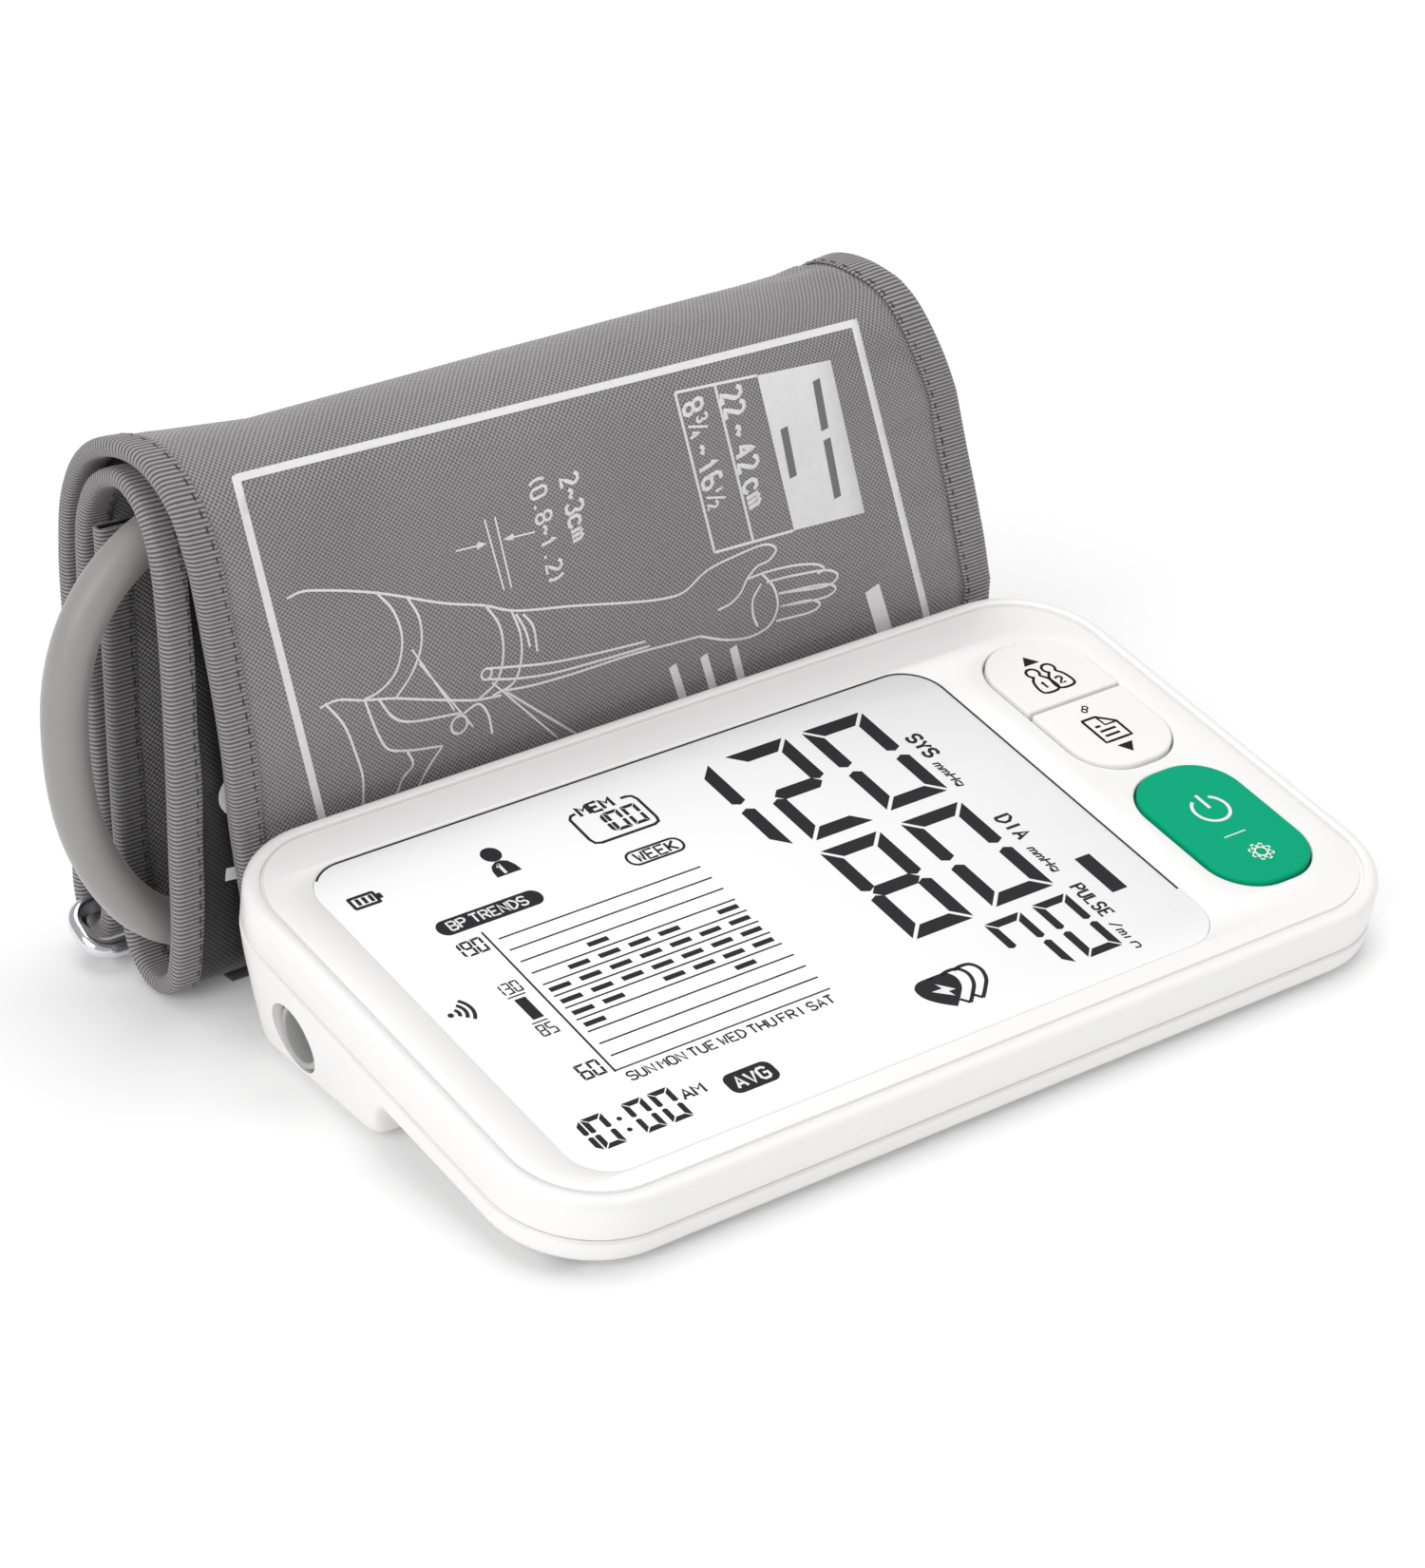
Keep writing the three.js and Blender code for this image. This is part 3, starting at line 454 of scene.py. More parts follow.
def applied(made, modifiers):
    # the mesh with its modifiers worked in
    for kind, settings in modifiers:
        modifier = made.modifiers.new(kind.lower(), kind)
        for key, value in settings.items():
            setattr(modifier, key, value)
    graph = bpy.context.evaluated_depsgraph_get()
    final = bpy.data.meshes.new_from_object(made.evaluated_get(graph))
    made.modifiers.clear()
    made.data = final
    return made


# ---- top cover: rim, display window and key holes
window = {"box": (10.5, 7, 129.6, 84.2), "corner": 7, "seat": 1.5, "ledge": 2.4, "sink": 0.03, "play": 0.08}
keys = {
    "left": 137.3, "right": 156.5, "corner": 8.2, "start": (12.4, 42.8), "pair": (46, 81.2), "split": 64.3,
    "proud": 0.6, "round": 0.45, "foot": -3.1, "clear": 0.35, "holeRound": 0.35,
}

screw = {"in": 8, "well": 2.8, "seat": -9.1, "core": 1.5, "boss": 2.7}


def caseLoop(inset):
    return roundLoop(0, 0, case["length"], case["depth"], case["corner"], inset, 20)


def windowLoop(inset):
    return roundLoop(*window["box"], window["corner"], inset)


def keyLoop(front, rear, radii):
    return lambda inset: roundLoop(keys["left"], front, keys["right"], rear, radii, inset)


wall = case["wall"]
rise = case["rimRise"]
rim = case["rimRound"]
arc = np.linspace(0, math.pi / 2, 9)
rimProfile = [(0.6, -case["seam"] + 0.1), (0.14, -case["seam"] + 0.2), (0, -case["seam"] + 0.5), (0, -3)]
rimProfile += [(rim * (1 - math.cos(a)), rise - rim * (1 - math.sin(a))) for a in arc]
groove, sunk = case["groove"]
rimProfile += [(case["rimWidth"] + d, h) for d, h in [
    (0, rise), (0.12, rise - 0.08), (0.14, -sunk), (groove, -sunk), (groove + 0.12, -0.04), (groove + 0.3, 0),
]]
insideProfile = [(0.6, -case["seam"] + 0.1), (wall, -case["seam"]), (wall, -wall)]
top = Shell(fromCase)
top.grid(tower(rimProfile, caseLoop), closeColumns=True)
top.grid(tower(insideProfile, caseLoop), closeColumns=True)
holes = [keyLoop(*keys["start"], keys["corner"]), keyLoop(*keys["pair"], keys["corner"])]
lead = keys["holeRound"]
holeProfile = [(-keys["clear"] - lead * (1 - math.sin(a)), -lead * (1 - math.cos(a))) for a in arc[::2]]
holeProfile += [(-keys["clear"], -wall)]
for hole in holes:
    top.grid(tower(holeProfile, hole), closeColumns=True)
windowProfile = [(-0.36, 0), (-0.3, -0.05), (-0.3, -window["seat"]), (window["ledge"], -window["seat"]),
                 (window["ledge"], -wall)]
top.grid(tower(windowProfile, windowLoop), closeColumns=True)
faceHoles = [raised(windowLoop(-0.36), 0)] + [raised(hole(holeProfile[0][0]), 0) for hole in holes]
top.fill(raised(caseLoop(rimProfile[-1][0]), 0), *faceHoles)
ceilingHoles = [raised(windowLoop(window["ledge"]), -wall)]
ceilingHoles += [raised(hole(-keys["clear"]), -wall) for hole in holes]
top.fill(raised(caseLoop(wall), -wall), *ceilingHoles)
core, boss = screw["core"], screw["boss"]
bossSection = [(core, -6.5), (boss, -6.5), (boss, -1.8), (core, -1.8), (core, -6.5)]
for x in (screw["in"], case["length"] - screw["in"]):
    for y in (screw["in"], case["depth"] - screw["in"]):
        top.lathe(bossSection, (x, y, 0), (0, 0, 1), 24)
topCover = top.make("topCover", finish["case"], "monitor")
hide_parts("top_cover")
print("top cover made")

# ---- bottom cover: slab with the battery hump under its rear
hump = {
    "front": 44.2, "run": 7.2, "floor": 0.8, "draft": 5.0, "rearDraft": 0.42, "sideRound": 3.2,
    "rearRound": 7.5,
}
socket = {"y": 71, "z": 9.4, "hole": 5.8, "front": 2.7}


def underDepth(v):
    # depth of the underside: the slab, then a steep quarter round down to the hump's level floor
    floor = (case["frontHeight"] - hump["floor"] + v * caseSin) / caseCos
    share = np.clip((v - hump["front"]) / hump["run"], 0, 1)
    ease = np.clip(share / 0.4, 0, 1)
    step = (1 - (1 - share) ** 3) * (0.15 + 0.85 * ease * ease * (3 - 2 * ease))
    return case["slab"] + (floor - case["slab"]) * np.where(share > 0, step, 0)


def underShell(inset, lift, top0):
    # rows follow half the outline from the front's middle to the rear's; columns run down the left wall,
    # across the underside and up the right wall, drawn in by draft and a rounded lower edge
    half = case["length"] / 2
    corner = case["corner"]
    arcs = np.linspace(0, math.pi / 2, 14)
    frontX = np.linspace(half, corner, 14)[:-1]
    sideY = np.unique(np.concatenate([
        np.linspace(corner, case["depth"] - corner, 22),
        np.linspace(hump["front"] - 1, hump["front"] + hump["run"] + 1, 22),
    ]))[1:-1]
    base = np.vstack([
        np.stack([frontX, np.zeros_like(frontX)], -1),
        np.stack([corner - corner * np.sin(arcs), corner - corner * np.cos(arcs)], -1),
        np.stack([np.zeros_like(sideY), sideY], -1),
        np.stack([corner - corner * np.cos(arcs), case["depth"] - corner + corner * np.sin(arcs)], -1),
        np.stack([frontX[::-1], np.full_like(frontX, case["depth"])], -1),
    ])
    inward = np.vstack([
        np.tile([0, 1.0], (len(frontX), 1)),
        np.stack([np.sin(arcs), np.cos(arcs)], -1),
        np.tile([1.0, 0], (len(sideY), 1)),
        np.stack([np.cos(arcs), -np.sin(arcs)], -1),
        np.tile([0, -1.0], (len(frontX), 1)),
    ])
    rear = np.clip(-inward[:, 1], 0, 1) ** 1.5
    depth = underDepth(base[:, 1] + inward[:, 1] * 8 * (base[:, 1] > hump["front"])) - lift
    deep = np.clip((depth - case["slab"]) / 8, 0, 1)
    radius = 2.2 + deep * (hump["sideRound"] - 2.2 + rear * (hump["rearRound"] - hump["sideRound"]))
    q = np.concatenate([np.linspace(0, 1, 9)[:-1], 1 + np.linspace(0, 1, 8)])
    straight = np.clip(q, 0, 1)[None]
    turned = np.clip(q - 1, 0, 1)[None] * math.pi / 2
    d = top0 + (depth[:, None] - radius[:, None] - top0) * straight + radius[:, None] * np.sin(turned)
    below = np.clip(d - case["slab"] + 4, 0, None)
    rear = rear[:, None]
    drawn = hump["draft"] * (below / 22.8) ** 1.3 * (1 - rear) + hump["rearDraft"] * below * rear
    e = inset + drawn * (0.25 + 0.75 * deep[:, None]) + radius[:, None] * (1 - np.cos(turned))
    wallPoints = base[:, None, :] + inward[:, None, :] * e[:, :, None]
    left = np.concatenate([wallPoints, -d[:, :, None]], -1)
    right = left.copy()
    right[:, :, 0] = case["length"] - right[:, :, 0]
    share = np.linspace(0, 1, 12)[1:-1][None, :, None]
    across = left[:, -1:] + (right[:, -1:] - left[:, -1:]) * share
    across[:, :, 2] = -(underDepth(across[:, :, 1]) - lift)
    return np.concatenate([left, across, right[:, ::-1]], 1)


seamTop = case["seam"] + case["gap"]
under = Shell(fromCase)
outer = underShell(0.0, 0, seamTop + 0.35)
lip = underShell(0.4, 0, seamTop)[:, [0, -1]]
inner = underShell(wall, wall, seamTop)
under.grid(np.concatenate([lip[:, :1], outer, lip[:, 1:]], 1))
under.grid(inner)
under.grid(np.stack([lip[:, 0], inner[:, 0]], 1)).grid(np.stack([lip[:, 1], inner[:, -1]], 1))
bottomCover = under.make("bottomCover", finish["case"], "monitor", sharp=50)


openings = Shell()
reach = socket["hole"]
openings.lathe([(0, -9), (reach, -9), (reach, 5), (0, 5)], (5, socket["y"], socket["z"]), (1, 0, 0))
recess = {"in": 15.6, "y": 61, "radius": 4.8, "top": 1.7}  # for the rear feet
reach, upTo = recess["radius"], recess["top"]
for x in (recess["in"], case["length"] - recess["in"]):
    openings.lathe([(0, -6), (reach, -6), (reach, upTo), (0, upTo)], (x, recess["y"], 0), (0, 0, 1))
coverLow, coverHigh = (np.array(c) * 1000 - origin * 1000 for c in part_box("battery_cover"))
slotPlay = 0.35
coverSlot = roundLoop(*(coverLow[:2] - slotPlay), *(coverHigh[:2] + slotPlay), 1.2)
openings.grid(np.stack([raised(coverSlot, -3), raised(coverSlot, 3.6)]), closeColumns=True)
openings.fill(raised(coverSlot, -3)).fill(raised(coverSlot, 3.6))
cutTool = openings.make("openingsTool", finish["case"], None)
applied(bottomCover, [("BOOLEAN", {"operation": "DIFFERENCE", "object": cutTool, "solver": "EXACT"})])
bpy.data.objects.remove(cutTool)
screwTool = Shell(fromCase)
well, seat = screw["well"], screw["seat"]
for x in (screw["in"], case["length"] - screw["in"]):
    # only the front wells are cut: the rear ones would break out of the drafted corners
    screwTool.lathe([(0, -40), (well, -40), (well, seat), (0, seat)], (x, screw["in"], 0), (0, 0, 1), 24)
cutTool = screwTool.make("screwTool", finish["case"], None)
applied(bottomCover, [("BOOLEAN", {"operation": "DIFFERENCE", "object": cutTool, "solver": "EXACT"})])
bpy.data.objects.remove(cutTool)
bottomCover.data.shade_smooth()
bottomCover.data.set_sharp_from_angle(angle=math.radians(40))
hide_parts("bottom_cover")

# ---- air socket: recessed ring with a rolled lip, a bore and the nipple behind it
airSocket = Shell()
airSocket.lathe([
    (4.2, 0.5), (4.35, 0.15), (4.75, 0), (5.2, 0.12), (5.45, 0.5), (5.5, 1.0), (5.5, 9.7), (1.6, 9.7),
    (1.6, 14.7), (0.7, 14.7), (0.7, 7.6), (4.0, 7.6), (4.0, 3.1), (4.2, 2.9), (4.2, 0.5),
], (socket["front"], socket["y"], socket["z"]), (1, 0, 0), 64)
airSocket = airSocket.make("airSocket", finish["socket"], "monitor")
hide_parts("air_socket")

# ---- feet: domed rubber discs
for node in ("rear_foot_1", "rear_foot_2", "front_foot_1", "front_foot_2"):
    low, high = (np.array(c) * 1000 - origin * 1000 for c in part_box(node))
    radius = (high[0] - low[0]) / 2
    foot = Shell().lathe([
        (0, 0.12), (radius * 0.7, 0.12), (radius * 0.82, 0), (radius - 0.35, 0), (radius, 0.4),
        (radius, high[2] - 0.1), (radius - 0.4, high[2]), (0, high[2]),
    ], ((low[0] + high[0]) / 2, (low[1] + high[1]) / 2, 0), (0, 0, 1))
    foot = foot.make(node.replace("_foot_", "Foot"), finish["foot"], "monitor")
    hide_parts(node)
print("bottom cover, socket and feet made")

# ---- display lens
lensOut, lensTop = window["play"] - 0.3, -window["sink"]
lensEdge = [(0.5, -1.2), (lensOut, -1.1), (lensOut, lensTop - 0.06), (lensOut + 0.08, lensTop)]
lens = Shell(fromCase)
lens.grid(tower(lensEdge, windowLoop), closeColumns=True)
lens.fill(raised(windowLoop(lensOut + 0.08), -window["sink"])).fill(raised(windowLoop(0.5), -1.2))
displayLens = lens.make("displayLens", finish["lens"], "monitor", sharp=60)
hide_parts("display_lens")

# ---- keys: rounded caps that share a pill outline


def keyCap(name, node, front, rear, radii, colour, slot):
    outline = keyLoop(front, rear, radii)
    edge = keys["round"]
    profile = [(0, keys["foot"]), (0, keys["proud"] - edge)]
    profile += [(edge * (1 - math.cos(a)), keys["proud"] - edge * (1 - math.sin(a))) for a in arc[1:]]
    cap = Shell(fromCase).grid(tower(profile, outline), closeColumns=True)
    cap.fill(raised(outline(edge), keys["proud"])).fill(raised(outline(0), keys["foot"]))
    flange = [(0, -2.31), (-0.9, -2.31), (-0.9, -3.1), (0, -3.1)]
    cap.grid(tower(flange, outline), closeColumns=True)
    made = cap.make(name, colour, node, sharp=50)
    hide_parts(node)


wide, tight, apart = keys["corner"], 0.6, 0.3
keyCap("startKey", "start_button", *keys["start"], wide, finish["keyGreen"], "key_green")
keyCap("userKey", "user_button", keys["split"] + apart, keys["pair"][1], [tight, wide, wide, tight],
       finish["keyWhite"], "key_white")
keyCap("memoryKey", "memory_button", keys["pair"][0], keys["split"] - apart, [wide, tight, tight, wide],
       finish["keyWhite"], "key_white")
print("lens and keys made")


# ---- ink: thin raised strips and blobs on a surface given by a function of (x, y, height)
class Ink(Shell):
    def __init__(self, surface, low=-0.05, high=0.045, step=9):
        super().__init__()
        self.surface, self.low, self.high, self.step = surface, low, high, step

    def strip(self, left, right, closed=False):
        # solid ribbon between two lines of the same number of points
        left, right = np.asarray(left, float), np.asarray(right, float)
        sides = [(left, self.low), (left, self.high), (right, self.high), (right, self.low)]
        corners = np.stack([self.surface(raised(line, h)) for line, h in sides], 1)
        self.grid(corners, closeRows=closed, closeColumns=True)
        if not closed:
            start = self.count - len(left) * 4
            self.faces += [[start, start + 1, start + 2, start + 3], [self.count - i for i in (1, 2, 3, 4)]]
        return self

    def blob(self, loop):
        # closed outline, split into two chains that meet at its first and middle points
        loop = np.asarray(loop, float)
        half = len(loop) // 2
        return self.strip(loop[:half + 1], np.vstack([loop[:1], loop[:half - 1:-1]])[:half + 1])

    def line(self, points, width, closed=False):
        # ribbon of one width: points moved half of it along their normals
        p = np.asarray(points, float)
        along = np.roll(p, -1, 0) - np.roll(p, 1, 0) if closed else np.gradient(p, axis=0)
        along /= np.maximum(np.linalg.norm(along, axis=1), 1e-9)[:, None]
        side = np.stack([-along[:, 1], along[:, 0]], -1) * width / 2
        return self.strip(p + side, p - side, closed)

    def ring(self, centre, radius, width, start=0.0, turn=1.0, steps=28):
        angles = tau * (start + np.linspace(0, turn, steps, endpoint=turn < 1))
        if turn >= 1:
            angles = angles[:-1] if abs(angles[-1] - angles[0] - tau) < 1e-6 else angles
        spoke = np.stack([np.cos(angles), np.sin(angles)], -1)
        c = np.asarray(centre, float)
        outer, inner = c + spoke * (radius + width / 2), c + spoke * (radius - width / 2)
        return self.strip(outer, inner, closed=turn >= 1)

    def disc(self, centre, radius, steps=24):
        a = tau * np.arange(steps) / steps
        return self.blob(np.asarray(centre, float) + radius * np.stack([np.cos(a), np.sin(a)], -1))

    def pill(self, x0, y0, x1, y1, radius, width=None):
        loop = roundLoop(x0, y0, x1, y1, radius, 0, 7)
        if width is None:
            return self.blob(loop)
        return self.strip(loop, roundLoop(x0, y0, x1, y1, radius, width, 7), closed=True)

    def bar(self, start, end, width):
        # one segment: a straight bar with pointed ends
        a, b = np.asarray(start, float), np.asarray(end, float)
        along = (b - a) / np.linalg.norm(b - a)
        side = np.array([-along[1], along[0]]) * width / 2
        tip = along * width / 2
        return self.blob([a, a + tip + side, b - tip + side, b, b - tip - side, a + tip - side])

    def write(self, text, start, along, height, width, narrow=0.6, lean=0.0):
        # letters as strokes, set one after another along a direction with their tops to its left
        along = np.asarray(along, float) / np.linalg.norm(along)
        up = np.array([-along[1], along[0]])
        at = np.asarray(start, float)
        for mark in text:
            for stroke in letters.get(mark, "").split("|"):
                spots = np.array([list(pair) for pair in stroke.split()], float).reshape(-1, 2) / 6
                if len(spots):
                    across = spots[:, :1] * narrow * 1.5 + spots[:, 1:] * lean
                    line = at + (along * across + up * spots[:, 1:]) * height
                    self.line(fine(line, self.step), width)
            at = at + along * height * (narrow + 0.24 if mark != " " else 0.3)
        return self


def fine(points, step):
    # the same line with a point at least every step
    p = np.asarray(points, float)
    counts = [max(1, int(np.linalg.norm(b - a) / step)) + 1 for a, b in zip(p[:-1], p[1:])]
    parts = [np.linspace(a, b, count)[:-1] for a, b, count in zip(p[:-1], p[1:], counts)]
    return np.vstack(parts + [p[-1:]])


letters = {  # strokes on a grid four wide and six high: each pair is a point, a bar lifts the pen
    "A": "00 26 40|12 32", "B": "00 06 36 45 44 33 03|33 42 41 30 00", "D": "00 06 26 44 42 20 00",
    "E": "40 00 06 46|03 33", "F": "00 06 46|03 33", "G": "45 36 16 05 01 10 30 41 43 23",
    "H": "00 06|03 43|46 40", "I": "20 26", "K": "00 06|02 46|13 40", "L": "06 00 40",
    "M": "00 06 23 46 40", "N": "00 06 40 46", "O": "10 01 05 16 36 45 41 30 10",
    "P": "00 06 36 45 44 33 03", "R": "00 06 36 45 44 33 03|23 40",
    "S": "01 10 30 41 42 33 13 04 05 16 36 45", "T": "20 26|06 46", "U": "06 01 10 30 41 46",
    "V": "06 20 46", "W": "06 10 24 30 46", "Y": "06 23 46|23 20", "c": "43 34 14 03 01 10 30 41",
    "g": "34 14 03 02 11 41|44 40 20", "i": "10 14", "m": "00 04|03 14 23 20|23 34 43 40",
    "n": "00 04|03 14 34 43 40", "/": "00 36", "0": "10 01 05 16 36 45 41 30 10", "1": "14 26 20",
    "2": "05 16 36 45 44 00 40", "3": "05 16 36 45 44 33 42 41 30 10 01", "4": "30 36 02 42",
    "6": "36 16 05 01 10 30 41 42 33 13 02", "8": "13 04 05 16 36 45 44 33 13 02 01 10 30 41 42 33",
    "~": "02 13 23 32 43", ".": "20 21", "(": "36 24 22 30", ")": "16 24 22 10",
}

segmentsOf = {  # segments lit by each digit: a to f clockwise from the top, g in the middle
    "0": "abcdef", "1": "bc", "2": "abged", "3": "abgcd", "5": "afgcd", "6": "afgedc", "7+": "abcf",
    "8": "abcdefg", "9": "abcdfg",
}


def digit(ink, mark, x0, y0, x1, y1, width):
    # seven segments in a box: their outer ends meet in mitres, their middle ends are blunt points
    gap, half, middle = width * 0.17, width / 2, (y0 + y1) / 2
    centre = (x0 + x1) / 2
    for key in segmentsOf[mark]:
        if key in "ad":
            edge, inner = (y1, y1 - width) if key == "a" else (y0, y0 + width)
            ink.blob([(x0 + gap, edge), (centre, edge), (x1 - gap, edge), (x1 - width - gap, inner),
                      (centre, inner), (x0 + width + gap, inner)])
        elif key == "g":
            ink.bar((x0 + half, middle), (x1 - half, middle), width)
        else:
            edge, inner = (x1, x1 - width) if key in "bc" else (x0, x0 + width)
            end, turn = (y1, -1) if key in "bf" else (y0, 1)
            near = middle - turn * gap * 1.4
            ink.blob([(edge, end + turn * gap), (edge, near - turn * half * 0.5), ((edge + inner) / 2, near),
                      (inner, near - turn * half * 0.5), (inner, end + turn * (width + gap)),
                      ((edge + inner) / 2, end + turn * (half + gap))])


def number(ink, marks, x0, y0, height, pitch, wide, width):
    for i, mark in enumerate(marks):
        digit(ink, mark, x0 + i * pitch, y0, x0 + i * pitch + wide, y0 + height, width)


# ---- what the display shows: readings, chart, clock and symbols, and a painted shadow line at the window's rear and right edges
lcd = Ink(lambda p: fromCase(p - [0, 0, window["sink"]]))
front, across = (0, -1), (1, 0)  # ways the captions run
for mark, x0, y0, x1, y1 in [
    ("1", 72, 55.2, 82.5, 78.4), ("2", 85.8, 54.6, 97.8, 78.4), ("0", 101.0, 55.2, 113.2, 78.2),
    ("8", 84.7, 28.0, 96.5, 52.0), ("0", 100.6, 28.4, 112.8, 52.0),
]:
    digit(lcd, mark, x0, y0, x1, y1, 2.6)
digit(lcd, "7+", 96.4, 12.0, 103.5, 25.8, 1.5)
digit(lcd, "0", 106.0, 12.0, 112.8, 26.0, 1.5)
lcd.write("SYS", (115.4, 69.2), front, 2.5, 0.6, 0.6).write("DIA", (115.0, 45.9), front, 2.6, 0.55, 0.6)
lcd.write("PULSE", (114.4, 26.7), front, 2.3, 0.46, 0.5)
for spot, text in (((115.0, 61.7), "mmHg"), ((114.6, 37.5), "mmHg"), ((114.0, 16.9), "/min")):
    lcd.write(text, spot, front, 1.7, 0.3, 0.76, 0.2)
lcd.strip([(119.7, 22.6), (119.7, 31.9)], [(122.65, 22.6), (122.65, 31.9)])
memoryBox = [
    (56.6, 77.4), (55.6, 77.2), (55.0, 76.5), (54.9, 71.0), (55.2, 70.0), (56.2, 69.6), (66.2, 69.6),
    (67.2, 70.0), (67.5, 71.0), (67.5, 76.1), (67.1, 77.1), (66.2, 77.4), (65.2, 77.4),
]
lcd.line(memoryBox, 0.52)
lcd.write("MEM", (57.3, 76.4), across, 2.2, 0.58, 0.76)
for x, mark in ((57.4, "1"), (60.3, "0"), (63.6, "0")):
    digit(lcd, mark, x, 70.8, x + 2.7, 75.6, 0.62)
lcd.pill(56.9, 62.2, 67.5, 65.8, 1.7, 0.42).write("WEEK", (58.6, 62.95), across, 2.1, 0.42, 0.7)
lcd.disc((39.3, 75.0), 1.7)
lcd.blob([(37.1, 69.9), (41.5, 69.9), (41.3, 71.4), (40.7, 72.7), (39.8, 73.2), (38.8, 73.2), (37.7, 72.5),
          (37.2, 71.4)])
lcd.pill(13.8, 73.1, 18.6, 76.1, 0.4, 0.55).pill(18.5, 74.0, 19.3, 75.2, 0.2)
for i in range(3):
    x = 14.9 + i * 1.15
    lcd.strip([(x, 73.9), (x, 75.4)], [(x + 0.6, 73.9), (x + 0.6, 75.4)])
lcd.pill(21.9, 61.7, 40.7, 65.2, 1.7)
chart = {
    "left": 29.0, "right": 66.2, "top": 57.7, "rowStep": 2.97, "rows": 12, "dayFrom": 30.8, "dayStep": 5.5,
    "dash": (3.7, 0.95), "marks": {3: "3", 4: "23457", 5: "1234567", 6: "1234567", 7: "124567", 8: "16"},
}
lcd.line([(27.6, 60.2), (27.0, 24.8)], 0.34).line([(27.0, 25.0), (chart["right"], 25.0)], 0.26)
for row in range(chart["rows"] - 1):
    y = chart["top"] - row * chart["rowStep"]
    lcd.line([(chart["left"] - row * 0.06, y), (chart["right"], y)], 0.28)
long, thick = (v / 2 for v in chart["dash"])
for row, days in chart["marks"].items():
    y = chart["top"] - (row - 0.5) * chart["rowStep"]
    for day in days:
        x = chart["dayFrom"] + (int(day) - 1) * chart["dayStep"]
        ends = [[(end, y - thick), (end, y + thick)] for end in (x - long, x + long)]
        lcd.strip(*ends)
for i, day in enumerate(("SUN", "MON", "TUE", "WED", "THU", "FRI", "SAT")):
    lcd.write(day, (28.0 + i * 5.45, 22.1), across, 1.75, 0.32, 0.7)
number(lcd, "190", 20.9, 56.2, 3.4, 2.0, 1.75, 0.42)
number(lcd, "60", 22.0, 25.2, 3.4, 2.1, 1.85, 0.42)
lcd.strip([(23.0, 39.9), (23.0, 44.9)], [(24.9, 39.9), (24.9, 44.9)])
lcd.line([(22.4, 45.6), (25.5, 45.6)], 0.24).line([(22.3, 39.2), (25.0, 39.2)], 0.24)
number(lcd, "130", 21.4, 46.2, 2.6, 1.55, 1.3, 0.28)
number(lcd, "85", 22.2, 36.0, 2.6, 1.6, 1.35, 0.28)
for radius in (1.1, 2.2, 3.3):
    lcd.ring((13.2, 46.4), radius, 0.6, -0.12, 0.24, 10)
lcd.disc((12.9, 46.4), 0.5, 10)
for mark, x in (("1", 12.3), ("0", 16.2), ("0", 23.3), ("0", 27.9)):
    digit(lcd, mark, x, 11.7, x + 3.6, 18.6, 0.92)
for y in (13.6, 16.2):
    lcd.disc((21.5, y), 0.42, 10)
lcd.write("AM", (32.4, 15.0), across, 2.0, 0.42, 0.82)
lcd.pill(39.4, 12.2, 48.0, 16.6, 1.5)
heart = [
    (80.8, 12.6), (78.6, 14.6), (77.3, 16.6), (77.3, 18.6), (78.4, 19.6), (80.0, 19.8), (81.0, 19.3),
    (82.2, 19.8), (84.0, 19.6), (84.8, 18.2), (84.4, 16.2), (82.8, 14.4),
]
lcd.blob(smooth(heart + heart[:1], 3)[:-1])
lobe = np.array([
    (82.9, 19.5), (84.3, 19.8), (86.0, 19.5), (86.8, 18.0), (86.2, 15.8), (84.6, 14.0), (82.9, 12.4),
])
for step in (0.2, 2.6):
    lcd.line(smooth(lobe + [step, 0], 4), 0.62).line(lobe[-1:] + [[step, 0], [step - 1.0, 1.3]], 0.5)
# painted shadow: a dark ink line along the window's rear and right edges only, standing in for the shade in the
# lens recess
edge = fine(np.vstack([windowLoop(0.1), windowLoop(0.1)[:1]]), 1.5)[:-1]
shown = (edge[:, 1] > 80.5) | (edge[:, 0] > 129) & (edge[:, 1] > 18)
start = np.flatnonzero(shown & ~np.roll(shown, 1))[0]
lcd.line(np.roll(edge, -start, 0)[: shown.sum()], 0.34)
lcdSegmentsAndWindowShade = lcd.make("lcdSegmentsAndWindowShade", finish["lcdInk"], "monitor")

lcdWhite = Ink(lambda p: fromCase(p - [0, 0, window["sink"]]), 0.02, 0.07)
lcdWhite.write("BP TRENDS", (24.0, 62.5), across, 1.95, 0.36, 0.64)
lcdWhite.write("AVG", (40.8, 13.2), across, 2.3, 0.5, 0.68)
lcdWhite.write("1", (38.0, 70.2), across, 2.5, 0.55, 0.7)
lcdWhite.blob([(79.3, 17.0), (81.2, 16.9), (80.9, 18.2), (83.0, 15.9), (81.7, 16.0), (82.0, 14.7)])
lcdMarks = lcdWhite.make("lcdMarks", finish["whiteInk"], "monitor")

# ---- symbols on the keys
def keySurface(points):
    return fromCase(points + [0, 0, keys["proud"]])


power = Ink(keySurface)
power.ring((147.3, 31.1), 3.1, 0.55, 0.34, 0.82)
power.line([(147.3, 31.3), (147.3, 34.9)], 0.55)
power.line([(144.2, 24.3), (148.6, 24.3)], 0.22)
power.ring((147.2, 18.9), 1.05, 0.3)
gear = tau * np.linspace(0, 1, 97)[:-1]
teeth = 1.85 + 0.28 * np.tanh(4 * np.sin(8 * gear))
gearLoop = np.stack([np.cos(gear), np.sin(gear)], -1)
gearAt = [147.2, 18.9]
power.strip(gearAt + gearLoop * teeth[:, None], gearAt + gearLoop * (teeth[:, None] - 0.3), closed=True)
startMarks = power.make("startMarks", finish["whiteInk"], "start_button")


